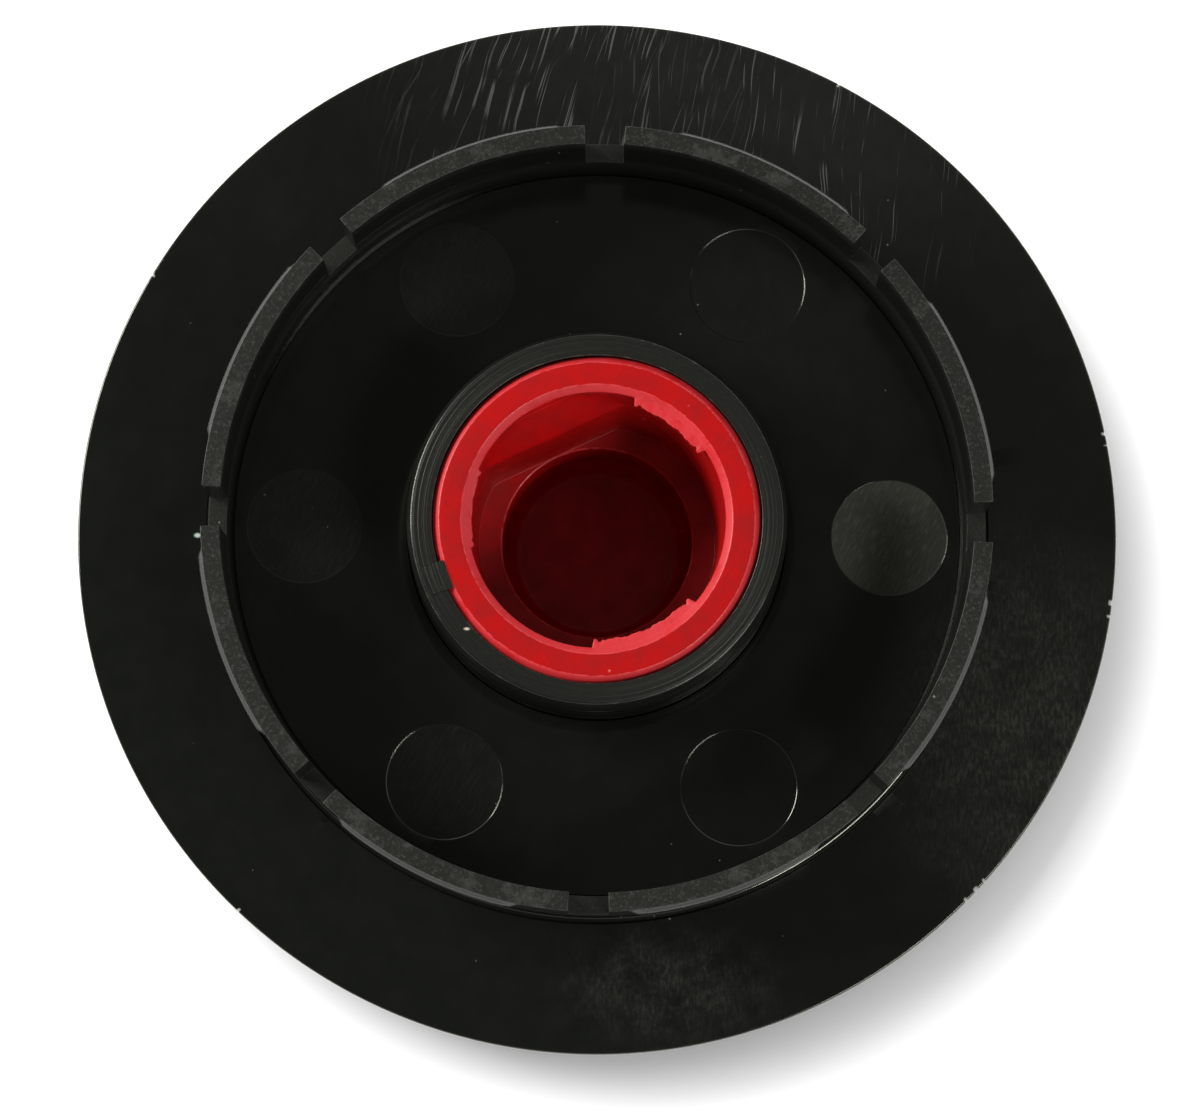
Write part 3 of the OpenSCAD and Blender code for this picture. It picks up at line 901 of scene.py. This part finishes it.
class SEACOCK_OT_ring(bpy.types.Operator):
    """Builds the castellated snap ring by repeating one segment round the axis"""
    bl_idname = "seacock.ring"
    bl_label = "Build snap ring"

    def execute(self, context):
        s = in_mm(context.scene.seacock.ring)
        made = grow("ring", self.repeat_tree(), {
            "Piece": self.segment(s, 180 / s.teeth), "Segments": s.teeth,
            "Finish": material("Satin black")})
        add_piece("castle_ring", made, "housing", "snap_ring", "Satin black")
        return {"FINISHED"}

    def segment(self, s, reach):
        """One segment with half of the slot at each of its ends, as a mesh."""
        shape = Shape()
        side = reach - math.degrees(math.asin(s.slot_width / 2 / s.outer_radius))
        inner, outer, web, top = s.inner_radius, s.outer_radius, s.web_height, s.height
        bead = outer + s.bead
        low = [(inner - 0.3, 0.0), (inner, 0.3), (inner, web)]
        high = [(inner, web + 2), (inner, top - 2.5), (inner, top), (outer, top),
                (outer, top - 0.6), (outer + s.bead * 0.5, top - 0.85), (bead, top - 1.15),
                (bead, top - 1.6),
                (outer + s.bead * 0.5, top - 1.95), (outer, top - 2.3), (outer, web + 2)]
        foot = [(outer, web), (outer, 0.0)]
        ends = [-reach, -(reach + side) / 2]
        turns = ends + list(np.linspace(-side, side, 29)) + [-a for a in reversed(ends)]
        grid = {}

        first, last = 2, len(turns) - 3

        def column(i, *parts):
            angle, along = math.radians(turns[i]), (turns[i] + side) / (2 * side)
            stands = ease(along, 0.06, 0.1) * (1 - ease(along, 0.79, 0.83))
            made = []
            for r, z in (place for part in parts for place in part):
                if (i, r, z) not in grid:
                    reach = outer + (r - outer) * stands if r > outer else r
                    grid[i, r, z] = shape.point(reach * math.cos(angle), reach * math.sin(angle), z)
                made.append(grid[i, r, z])
            return made

        for i in range(len(turns) - 1):
            parts = (low, high, foot) if first <= i < last else (low, foot)
            shape.skin([column(i, *parts), column(i + 1, *parts)])
        for i in (first, last):
            shape.face(column(i, low[-1:], high, foot[:1]))
        bm = shape.bm
        bmesh.ops.recalc_face_normals(bm, faces=bm.faces)
        for lowest, highest, offset, steps in ((web - 0.1, top - 0.05, 0.04, 1),
                                               (top - 0.05, top + 1, 0.13, 3)):
            sharp = []
            for edge in bm.edges:
                middle = (edge.verts[0].co + edge.verts[1].co) / 2
                on_bead = math.hypot(middle.x, middle.y) > outer + 0.02
                bends = len(edge.link_faces) == 2 and edge.calc_face_angle(0.0) > SHARP
                if bends and lowest < middle.z < highest and not on_bead:
                    sharp.append(edge)
            made = bmesh.ops.bevel(bm, geom=sharp, offset=offset, segments=steps, profile=0.5,
                                   affect="EDGES", clamp_overlap=True)
        for face in made["faces"]:
            for v in face.verts:
                v[shape.wear] = 0.6
        # Tone: 0 on the segment tops, which get the painted glints in full; 0.4 on the slot floors,
        # darker as painted shade in the slots; 1 on the walls, darker and glossier.
        for v in bm.verts:
            web_top = abs(v.co.z - web) < 0.06
            v[shape.tone] = 0.4 if web_top else float(v.co.z < top - 0.2)
        return shape.mesh("segment")

    def repeat_tree(self):
        """Tree that repeats a piece round the axis and closes the seams between the copies."""
        tree, n, given, out = new_tree(
            "Repeat round axis", "GeometryNodeTree",
            [("Piece", "Geometry", None), ("Segments", "Int", 8), ("Finish", "Material", None)],
            [("Geometry", "Geometry")])
        spots = n.add("GeometryNodePoints", Count=given["Segments"], Position=(0.0, 0.0, 0.0))
        turn = n.times(n.plus(n.add("GeometryNodeInputIndex").outputs[0], 0.5),
                      n.math("DIVIDE", math.tau, given["Segments"]))
        rotation = n.add("ShaderNodeCombineXYZ", Z=turn)
        copies = n.add("GeometryNodeInstanceOnPoints", Points=spots.outputs[0],
                       Instance=given["Piece"], Rotation=rotation.outputs[0])
        solid = n.add("GeometryNodeRealizeInstances", Geometry=copies.outputs[0])
        seams = n.add("GeometryNodeMergeByDistance", Geometry=solid.outputs[0], Distance=2e-6)
        done = n.add("GeometryNodeSetMaterial", Geometry=seams.outputs[0], Material=given["Finish"])
        n.put(out["Geometry"], done.outputs[0])
        return tree


class SEACOCK_OT_sleeve(bpy.types.Operator):
    """Builds the threaded bearing sleeve and the key in its rim"""
    bl_idname = "seacock.sleeve"
    bl_label = "Build sleeve and key"

    KEY_ANGLE, KEY_REACH, KEY_BACK, KEY_HALF = 201.7, 4.92, 17.3, 1.4
    THREAD_LOW, THREAD_TOP = 1.05, 8.6
    RUB_ANGLE, RUB_REACH = 318.0, 32.0

    def execute(self, context):
        s = in_mm(context.scene.seacock.sleeve)
        low, top = [corner.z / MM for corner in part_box("bearing_sleeve")]
        plate = in_mm(context.scene.seacock.plate)
        shank = plate.hole_radius - 0.1
        angles = columns(448, *[(self.KEY_ANGLE + self.KEY_REACH * side, 0.2, 0.04)
                                for side in (-1, 1)])
        slot = 1 - ease(np.abs(away(angles, self.KEY_ANGLE)) - self.KEY_REACH, -0.04, 0.04)
        recess = s.bore_radius + (self.KEY_BACK - s.bore_radius) * slot
        corners = [
            (s.neck_bore, -5.5, 0.1, 2),
            (s.neck_bore, SHOULDER, 0.25, 3, 0, 0.3),
            (s.bore_radius, SHOULDER, 0.03, 2, 2, 0.0),
            (s.bore_radius, 6.8, 0.1, 2, 0, 0.0),
            (recess, 6.82, 0.05, 2, 4, 0.0),
            (recess, top, 0.16, 4, 2),
            (17.86, top, 0.2, 5, 0),
            (s.boss_radius, 8.85, 0.24, 4, 46, 0.5),
            (s.boss_radius, 0.85, 0.2, 3, 0, 0.2),
            (shank, 0.6, 0.12, 3, 0, 0.8),
            (shank, 0.02, 0.05, 2, 0, 0.2),
            (shank, -plate.thickness),
            (s.collar_radius, -plate.thickness, 0.2, 2),
            (s.collar_radius, low, 0.5, 5),
            (15.15, low, 0.2, 3),
            (15.15, -8.0, 0.1, 2),
            (s.neck_bore, -8.0, 0.1, 2),
            (s.neck_bore, -7.4, 0.1, 2),
            (14.85, -7.4, 0.1, 2),
            (14.85, -5.5, 0.1, 2),
        ]
        path, wear = outline(corners, len(angles), closed=True)
        r, z = path[..., 0], path[..., 1]
        wall = (r > s.boss_radius - 0.02) & (z > self.THREAD_LOW) & (z < self.THREAD_TOP)
        phase = (z / s.thread_pitch - angles[:, None] / math.tau) % 1.0
        runs = ease(z, self.THREAD_LOW, 1.7) * (1 - ease(z, 8.0, self.THREAD_TOP))
        root = (1 - ease(np.abs(phase - 0.5), 0.2, 0.3)) * runs
        path[..., 0] = np.where(wall, r - s.thread_depth * root, r)
        # Thread crests carry edge wear all round, plus more toward 318 degrees where the low fill
        # light falls. That extra share is a painted highlight, painted paler by the edge wear mask.
        rubbed = 0.35 + 0.65 * hump(away(angles, self.RUB_ANGLE), self.RUB_REACH)[:, None]
        crests = rubbed * hump(root - 0.3, 0.4)
        worn = np.broadcast_to(wear, r.shape) + np.where(wall, crests, 0)
        shape = Shape()
        dull = np.where(path[..., 1] > 8.0, BOSS_SHADE, 0.85)
        shape.sweep(angles, path, worn, closed=True, tone=dull)
        add_piece("threaded_sleeve", self.with_pockets(shape.mesh("sleeve")), "housing",
                  "bearing_sleeve", "Satin black")
        self.key(context)
        return {"FINISHED"}

    def with_pockets(self, mesh):
        """Sinks the two ball pockets and the stop pin's hole into the sleeve's shoulder."""
        cutters = Shape()
        holes = [(angle, BALL_PLACE, 1.05, -5.1) for angle in BALL_ANGLES]
        for angle, place, radius, floor in (*holes, (PIN_ANGLE, PIN_PLACE, 0.83, -4.0)):
            cutters.stack(round_pit(angle, place, radius, 0), [(0, floor), (0, SHOULDER + 0.02)],
                          28)
        tool = bpy.data.objects.new("pocket_tool", cutters.mesh("pocket_tool"))
        body = bpy.data.objects.new("sleeve_blank", mesh)
        for thing in (tool, body):
            bpy.context.scene.collection.objects.link(thing)
        cut = body.modifiers.new("Pockets", "BOOLEAN")
        cut.object, cut.solver, cut.operation = tool, "EXACT", "DIFFERENCE"
        made = plain_copy(body)
        for thing in (tool, body):
            bpy.data.objects.remove(thing)
        return made

    def key(self, context):
        """The small key whose nose reaches over the knob's rim."""
        low, high, rim = 6.84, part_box("retaining_key")[1].z / MM, 9.79
        side = [(17.27, low), (17.27, rim), (15.3, high - 0.23), (15.2, high - 0.26), (15.2, 9.87),
                (15.88, 9.19), (15.88, low)]
        shape = Shape()
        rows = [[shape.point(r, y, z, 0.0, BOSS_SHADE) for r, z in side]
                for y in (-self.KEY_HALF, self.KEY_HALF)]
        shape.skin(rows)
        for row in rows:
            shape.face(row)
        bm = shape.bm
        bmesh.ops.recalc_face_normals(bm, faces=bm.faces)
        nose = [e for e in bm.edges if all(v.co.x < 15.3 for v in e.verts)
                and abs(e.verts[0].co.z - e.verts[1].co.z) > 0.1]
        bmesh.ops.bevel(bm, geom=nose, offset=0.62, segments=5, profile=0.5, affect="EDGES")
        sharp = [e for e in bm.edges if e.calc_face_angle(0.0) > SHARP]
        bmesh.ops.bevel(bm, geom=sharp, offset=0.03, segments=2, profile=0.5, affect="EDGES",
                        clamp_overlap=True)
        turn = Matrix.Rotation(math.radians(self.KEY_ANGLE), 4, "Z")
        bmesh.ops.transform(bm, matrix=turn, verts=bm.verts)
        add_piece("rim_key", shape.mesh("key"), "housing", "retaining_key",
                  "Satin black")


class SEACOCK_OT_knob(bpy.types.Operator):
    """Builds the hollow turning knob with its drive socket, lugs and pointer"""
    bl_idname = "seacock.knob"
    bl_label = "Build knob and pointer"

    SOCKET_FLAT = 116.0
    SOCKET_LEVELS = (-7.5, -5.5, -3.0, -1.0, 1.0, 2.4, 3.2, 3.6, 3.8, 4.0, 4.3, 4.8, 5.5, 6.3,
                     7.1, 7.8)
    GRIPS = (116.0, 236.0, 356.0)
    LUGS = ((34.0, 74.0, 0.74), (269.0, 321.0, 0.8), (158.0, 194.0, 0.34))
    SEAT, GROOVE_FLOOR, GROOVE_HALF = -0.9, 14.6, 0.95
    DIMPLE_RADIUS, DIMPLE_CENTRE = 1.05, -1.6

    def execute(self, context):
        s = in_mm(context.scene.seacock.knob)
        ends = [end for lug in self.LUGS for end in lug[:2]]
        angles = columns(380, *[(end, 2.2, 0.22) for end in ends])
        path, wear, pale = self.profile(s, angles)
        shape = Shape()
        rings = shape.sweep(angles, path, wear, tone=pale)
        nose = [(v.co.x, v.co.y) for v in rings[-1]]
        turn = math.radians(CLOSED_ANGLE)
        c, d = math.cos(turn), math.sin(turn)
        slot = Pit(4.6 * c, 4.6 * d, 9.6 * c, 9.6 * d, 1.1, 1.0, 0.0)
        shape.pitted_face(nose, None, -s.nose, [slot], -1, 32)
        add_piece("turned_knob", shape.mesh("knob"), "turning_knob", "knob",
                  "Red plastic")
        bar = Shape()
        floor, face = -s.nose + 0.98, -s.nose + 0.1
        bar.stack(slot, [(-0.1, floor), (-0.03, floor - 0.06), (-0.03, face + 0.1),
                         (-0.06, face + 0.03), (-0.14, face)], 32)
        add_piece("white_pointer", bar.mesh("pointer"), "turning_knob", "pointer_insert",
                  "Pointer white")
        return {"FINISHED"}

    def socket_radius(self, s, angles, z):
        """Radius of the socket's wall at a height: a drafted round with one flat under a ramp."""
        wall = s.mouth_radius - 0.5 * (9.15 - z) / 17.85
        rise = max(z - 3.9, 0.0)
        flat = flat_side(angles, s.flat_distance + rise * 2.8 / 5.1, [self.SOCKET_FLAT])
        return lesser(wall, flat, 0.16)

    def mouth(self, s, angles, z):
        """Radius inside the rim at a height, without its lugs."""
        return np.minimum(self.socket_radius(s, angles, z), s.mouth_radius - 0.03)

    def lug_radius(self, s, angles, z):
        """Radius inside the rim, where three ragged lugs stand in."""
        plain = self.mouth(s, angles, z)
        degrees = np.degrees(angles)
        rag = 0.07 * np.sin(degrees * 0.61 + 0.4) + 0.04 * np.sin(degrees * 1.7 + 2.0)
        for start, stop, reach in self.LUGS:
            middle, half = (start + stop) / 2, (stop - start) / 2
            from_end = half - np.abs(away(angles, middle))
            stands = ease(from_end, -0.3, 1.1) * (1 - 0.4 * hump(from_end - 3.4, 1.3))
            plain = plain - reach * stands * (1 + rag)
        return plain

    def profile(self, s, angles):
        """Outline of the knob from the bore's floor over the rim to the nose, and the pale parts,
        which are partly frosted and partly painted sheen.
        """
        count = len(angles)
        top, head = s.rim_height, s.head_radius
        low_lug, lug = self.lug_radius(s, angles, 8.32), self.lug_radius(s, angles, 9.0)
        groove = 1 - ease(np.abs(away(angles, 0)), 48.2, 48.6)
        shoulder = self.SEAT + 1.3 * groove
        grip = lesser(s.neck_radius, flat_side(angles, s.grip_distance, self.GRIPS), 0.3)
        socket = [(self.socket_radius(s, angles, z), z) for z in self.SOCKET_LEVELS]
        corners = [
            (0.0, -17.7),
            (8.2, -17.7, 0.5, 4, 0, 0.0),
            (s.bore_radius, -16.1, 0.4, 3, 1, 0.0),
            (s.bore_radius, -8.7, 0.24, 5, 0, 1.0),
            (self.socket_radius(s, angles, -8.7), -8.7, 0.1, 3, 1, 0.0),
            *socket,
            (self.socket_radius(s, angles, 8.15), 8.2, 0.05, 2, 0, 0.0),
            (low_lug, 8.32, 0.1, 3, 1, 0.6),
            (lug, 9.0, 0.14, 3, 0, 1.0),
            (s.mouth_radius, 9.15, 0.06, 2, 0, 0.2),
            (13.05, top, 0.1, 3, 2),
            (head - 0.65, top, 0.1, 3, 1),
            (head, top - 0.65, 0.1, 3, 0),
        ]
        for middle in HEAD_SEALS:
            high, low = middle + self.GROOVE_HALF, middle - self.GROOVE_HALF
            corners += [(head, high, 0.08, 2), (self.GROOVE_FLOOR, high, 0.12, 2),
                        (self.GROOVE_FLOOR, low, 0.12, 2), (head, low, 0.08, 2)]
        corners += [
            (head, shoulder, 0.1, 2, 13),
            (13.95, shoulder, 0.05, 2),
            (13.95, self.SEAT, 0.05, 1),
            (s.neck_radius, -0.92, 0.1, 2, 3, 0.0),
            (s.neck_radius, -9.4, 0.1, 3),
            (grip, -9.55, 0.1, 3, 4, 0.3),
            (grip, -s.nose + 1.2, 0.8, 5),
            (grip - 1.2, -s.nose, 0.8, 5),
            (grip - 2.0, -s.nose),
        ]
        path, wear = outline(corners, count)
        r, z = path[..., 0], path[..., 1]
        for centre in (90, 180, 270):
            x = r * np.sin(np.radians(away(angles, centre)))[:, None]
            y = r * np.cos(np.radians(away(angles, centre)))[:, None] - BALL_PLACE
            dome = np.sqrt(np.maximum(self.DIMPLE_RADIUS ** 2 - x ** 2 - y ** 2, 0.0))
            cap = self.DIMPLE_CENTRE + dome
            face = (np.abs(z - self.SEAT) < 0.03) & (r > 13.97) & (r < head - 0.02)
            path[..., 1] = np.where(face & (cap > z), cap, path[..., 1])
        z = path[..., 1]
        # Chamfers and lug ledges get the pale tone: partly frosted, partly painted sheen.
        chamfer = (z > 9.02) & (z < top - 0.03)
        ledge = (z > 8.1) & (r < s.mouth_radius) & (lug < self.mouth(s, angles, 9.0) - 0.1)[:, None]
        pale = np.where(chamfer, 1.0, np.where(ledge, 0.6, 0.0))
        return path, wear, pale


class SEACOCK_OT_seals(bpy.types.Operator):
    """Builds the seal rings and the wiper ring"""
    bl_idname = "seacock.seals"
    bl_label = "Build seals"

    def execute(self, context):
        angles = columns(160)
        for name, node, body, radius, height in (
                ("upper_head_seal", "head_seal_2", "turning_knob", 15.21, HEAD_SEALS[0]),
                ("lower_head_seal", "head_seal_1", "turning_knob", 15.21, HEAD_SEALS[1]),
                ("neck_ring_seal", "neck_seal", "housing", 14.24, -6.45)):
            turns = np.linspace(0, math.tau, 20, endpoint=False)
            cord = 0.6 * (1 + 0.02 * (np.abs(np.cos(turns)) > 0.999))
            path = np.stack([radius + cord * np.cos(turns), height + cord * np.sin(turns)], -1)
            path = np.broadcast_to(path, (len(angles), *path.shape)).copy()
            shape = Shape()
            shape.sweep(angles, path, np.zeros(len(turns)), closed=True)
            add_piece(name, shape.mesh(name), body, node, "Seal rubber")
        corners = [(15.1, -9.18, 0.1, 2), (15.1, -8.03, 0.1, 2), (14.2, -8.03, 0.1, 2),
                   (13.64, -8.5, 0.08, 2), (14.1, -8.75, 0.1, 2), (13.64, -9.18, 0.08, 2)]
        path, wear = outline(corners, len(angles), closed=True)
        shape = Shape()
        shape.sweep(angles, path, wear, closed=True)
        add_piece("lip_wiper", shape.mesh("wiper"), "housing", "wiper_ring",
                  "Seal rubber")
        return {"FINISHED"}


class SEACOCK_OT_detent(bpy.types.Operator):
    """Builds the stop pin and the two springs, and gives the balls their steel"""
    bl_idname = "seacock.detent"
    bl_label = "Build detent parts"

    COIL_RADIUS, WIRE_RADIUS, END_GAP = 0.00077, 0.00017, 0.00018

    def execute(self, context):
        steel = material("Bright steel")
        pin = Shape()
        pin.stack(round_pit(PIN_ANGLE, PIN_PLACE, 0.8, 0),
                  [(-0.2, -3.98), (-0.02, -3.8), (-0.02, 0.0), (-0.2, 0.18)], 32)
        add_piece("travel_pin", pin.mesh("pin"), "housing", "stop_pin", steel.name)
        tree = self.spring_tree()
        for node, name in (("detent_spring_1", "ball_spring_west"),
                           ("detent_spring_2", "ball_spring_south")):
            low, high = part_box(node)
            centre = (low + high) / 2
            made = grow(name, tree, {
                "Centre": (centre.x, centre.y, low.z + self.END_GAP), "Radius": self.COIL_RADIUS,
                "Height": high.z - low.z - 2 * self.END_GAP, "Wire": self.WIRE_RADIUS,
                "Turns": 4.5, "Finish": steel})
            add_piece(name, made, "housing", node, steel.name)
        for node in ("detent_ball_1", "detent_ball_2"):
            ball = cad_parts[node]
            ball.data.materials.clear()
            ball.data.materials.append(steel)
        return {"FINISHED"}

    def spring_tree(self):
        """Tree that bends round wire into a coil spring."""
        tree, n, given, out = new_tree(
            "Coil spring", "GeometryNodeTree",
            [("Centre", "Vector", None), ("Radius", "Float", 0.001), ("Height", "Float", 0.002),
             ("Wire", "Float", 0.0002), ("Turns", "Float", 4.0), ("Finish", "Material", None)],
            [("Geometry", "Geometry")])
        coil = n.add("GeometryNodeCurveSpiral", Resolution=24, Rotations=given["Turns"],
                     Start_Radius=given["Radius"], End_Radius=given["Radius"],
                     Height=given["Height"])
        wire = n.add("GeometryNodeCurvePrimitiveCircle", Resolution=10, Radius=given["Wire"])
        tube = n.add("GeometryNodeCurveToMesh", Curve=coil.outputs[0], Fill_Caps=True)
        n.put(tube.inputs["Profile Curve"], wire.outputs[0])
        placed = n.add("GeometryNodeTransform", Geometry=tube.outputs[0],
                       Translation=given["Centre"])
        smooth = n.add("GeometryNodeSetShadeSmooth", Geometry=placed.outputs[0])
        solid = n.add("GeometryNodeRealizeInstances", Geometry=smooth.outputs[0])
        done = n.add("GeometryNodeSetMaterial", Geometry=solid.outputs[0], Material=given["Finish"])
        n.put(out["Geometry"], done.outputs[0])
        return tree


class SEACOCK_OT_dial(bpy.types.Operator):
    """Builds the dial ring with its scale and the two position markers"""
    bl_idname = "seacock.dial"
    bl_label = "Build dial and markers"

    def execute(self, context):
        angles = columns(320)
        low, high = [corner.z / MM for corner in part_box("dial_ring")]
        inner, wide, narrow = 21.04, 26.5, 24.5
        web_inner, web_outer = inner + 0.3, narrow - 0.35
        corners = [
            (web_inner, low),
            (inner, low + 0.12, 0.1, 2),
            (inner, high, 0.1, 2),
            (wide, high, 0.12, 2),
            (wide, high - 1.0, 0.35, 4, 3, 0.7),
            (narrow, low, 0.3, 4),
            (web_outer, low),
        ]
        path, wear = outline(corners, len(angles))
        shape = Shape()
        shape.sweep(angles, path, wear)
        spots = (("closed_dot", "closed_marker", CLOSED_ANGLE, "marker_red", "Closed red"),
                 ("open_dot", "open_marker", OPEN_ANGLE, "marker_green", "Open green"))
        pits = [round_pit(spot[2], MARKER_PLACE, 1.09, 1.2) for spot in spots]
        shape.pitted_face(circle(angles, web_outer), circle(angles, web_inner), low, pits, -1, 32)
        add_piece("dial", shape.mesh("dial"), "housing", "dial_ring", "Dial grey")
        for name, node, angle, slot, finish in spots:
            face, base = [corner.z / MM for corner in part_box(node)]
            dot = Shape()
            dot.stack(round_pit(angle, MARKER_PLACE, 1.04, 0), [
                (-0.1, base), (-0.02, base - 0.08), (-0.02, face + 0.22), (-0.12, face + 0.08),
                (-0.35, face + 0.02), (-0.6, face)], 32)
            add_piece(name, dot.mesh(name), "housing", node, finish)
        return {"FINISHED"}


class SEACOCK_OT_stage(bpy.types.Operator):
    """Sets the floor, the lights, the world and the camera"""
    bl_idname = "seacock.stage"
    bl_label = "Set stage"

    CAMERA_SHIFT = (0.298 * MM, -2.55 * MM)
    TOUCH = 0.0005

    def execute(self, context):
        s = context.scene.seacock.stage
        context.scene.view_settings.view_transform = "Standard"
        floor = self.floor(s)
        only = self.link_set("Floor only", floor, "INCLUDE")
        without = self.link_set("No floor", floor, "EXCLUDE")
        self.light("Key", 160.0, 31.0, 0.62, (0.3, 0.2), s.key, without)
        self.light("Low fill", 318.0, 47.0, 0.6, (0.26, 0.08), s.fill, without)
        self.light("Floor light", 148.0, 70.0, 0.62, (0.24, 0.24), s.backing, only)
        self.light("Floor top light", 148.0, 89.9, 0.62, (0.24, 0.24), s.backing * 0.38, only)
        self.world(context)
        data = bpy.data.cameras.new("Camera")
        data.lens, data.sensor_width = s.lens, 36.0
        data.clip_start, data.clip_end = 0.01, 20.0
        camera = bpy.data.objects.new("Camera", data)
        context.scene.collection.objects.link(camera)
        lean = Matrix.Rotation(s.roll, 4, "Z") @ Matrix.Rotation(s.tilt, 4, "X")
        shift = Matrix.Translation((*self.CAMERA_SHIFT, s.distance))
        camera.matrix_world = lean @ shift
        context.scene.camera = camera
        return {"FINISHED"}

    def link_set(self, name, floor, state):
        """A set that keeps a light to the floor, or keeps the floor out of it."""
        chosen = bpy.data.collections.new(name)
        chosen.objects.link(floor)
        chosen.collection_objects[0].light_linking.link_state = state
        return chosen

    def light(self, name, azimuth, elevation, distance, size, power, receivers):
        """A soft rectangular light aimed at the middle of the object."""
        data = bpy.data.lights.new(name, "AREA")
        data.shape, data.size, data.size_y, data.energy = "RECTANGLE", size[0], size[1], power
        lamp = bpy.data.objects.new(name, data)
        a, e = math.radians(azimuth), math.radians(elevation)
        away_from = Vector((math.cos(a) * math.cos(e), math.sin(a) * math.cos(e), math.sin(e)))
        lamp.location = away_from * distance
        lamp.rotation_euler = away_from.to_track_quat("Z", "Y").to_euler()
        bpy.context.scene.collection.objects.link(lamp)
        lamp.light_linking.receiver_collection = receivers

    def floor(self, s):
        """A pale sheet under the knob's nose, see-through from below and where it is touched."""
        mesh = bpy.data.meshes.new("floor")
        z, reach = CAD_BOX[0].z, 2.5
        corners = ((-reach, -reach), (reach, -reach), (reach, reach), (-reach, reach))
        mesh.from_pydata([(x, y, z) for x, y in corners], [], [(0, 1, 2, 3)])
        floor = bpy.data.objects.new("floor", mesh)
        bpy.context.scene.collection.objects.link(floor)
        f = Finish("Pale floor")
        n = f.n
        tone = n.span(n.noise(f.place, 900.0, 3.0), 0.2, 0.8, 0.97, 1.0)
        base = n.mix(tone, (0.8, 0.8, 0.8, 1), rgba(s.floor))
        mesh.materials.append(f.surface(base, 0.8, f.bump(tone, 0.05, 0.0001)))
        behind = n.add("ShaderNodeNewGeometry").outputs["Backfacing"]
        ray = n.add("ShaderNodeLightPath").outputs["Ray Length"]
        touching = n.math("LESS_THAN", ray, self.TOUCH)
        seen = n.add("ShaderNodeMixShader", Fac=n.math("MAXIMUM", behind, touching))
        n.put(seen.inputs[1], f.out.inputs["Surface"].links[0].from_socket)
        n.put(seen.inputs[2], n.add("ShaderNodeBsdfTransparent").outputs[0])
        n.put(f.out.inputs["Surface"], seen.outputs[0])
        return floor

    def world(self, context):
        """A room that is bright near the horizon and dark overhead."""
        world = bpy.data.worlds.new("Room")
        world.use_nodes = True
        n = Nodes(world.node_tree)
        ray = n.add("ShaderNodeTexCoord").outputs["Generated"]
        ray = n.add("ShaderNodeSeparateXYZ", Vector=ray)
        shade = n.span(ray.outputs["Z"], 0.3, 0.75, 1.4, 0.058)
        for side, low, high, more in (("Y", 0.08, 0.4, 0.12), ("X", 0.0, 0.25, 0.06)):
            shade = n.plus(shade, n.span(ray.outputs[side], low, high, 0.0, more))
        light = n.add("ShaderNodeBackground", Color=(1.0, 1.0, 1.0, 1.0), Strength=shade)
        n.add("ShaderNodeOutputWorld", Surface=light.outputs[0])
        context.scene.world = world


class VIEW3D_PT_seacock(bpy.types.Panel):
    """Lists the steps and the settings"""
    bl_label = "Seacock Plate"
    bl_idname = "VIEW3D_PT_seacock"
    bl_space_type = "VIEW_3D"
    bl_region_type = "UI"
    bl_category = "Seacock"

    def draw(self, context):
        for step in STEPS:
            self.layout.operator(step.bl_idname)
        settings = context.scene.seacock
        for key in settings.__annotations__:
            group = getattr(settings, key)
            box = self.layout.box()
            box.label(text=key.capitalize())
            for name in group.__annotations__:
                box.prop(group, name)


GROUPS = (SeacockPlateSettings, SeacockRingSettings, SeacockSleeveSettings, SeacockKnobSettings,
          SeacockFinishSettings, SeacockStageSettings, SeacockSettings)
STEPS = (SEACOCK_OT_plate, SEACOCK_OT_ring, SEACOCK_OT_sleeve, SEACOCK_OT_knob, SEACOCK_OT_seals,
         SEACOCK_OT_detent, SEACOCK_OT_dial, SEACOCK_OT_stage)


def register():
    for kind in (*GROUPS, *STEPS, VIEW3D_PT_seacock):
        bpy.utils.register_class(kind)
    bpy.types.Scene.seacock = bpy.props.PointerProperty(type=SeacockSettings)


def unregister():
    del bpy.types.Scene.seacock
    for kind in reversed((*GROUPS, *STEPS, VIEW3D_PT_seacock)):
        bpy.utils.unregister_class(kind)


def main():
    register()
    for step in STEPS:
        group, name = step.bl_idname.split(".")
        getattr(getattr(bpy.ops, group), name)()


if __name__ == "__main__":
    main()
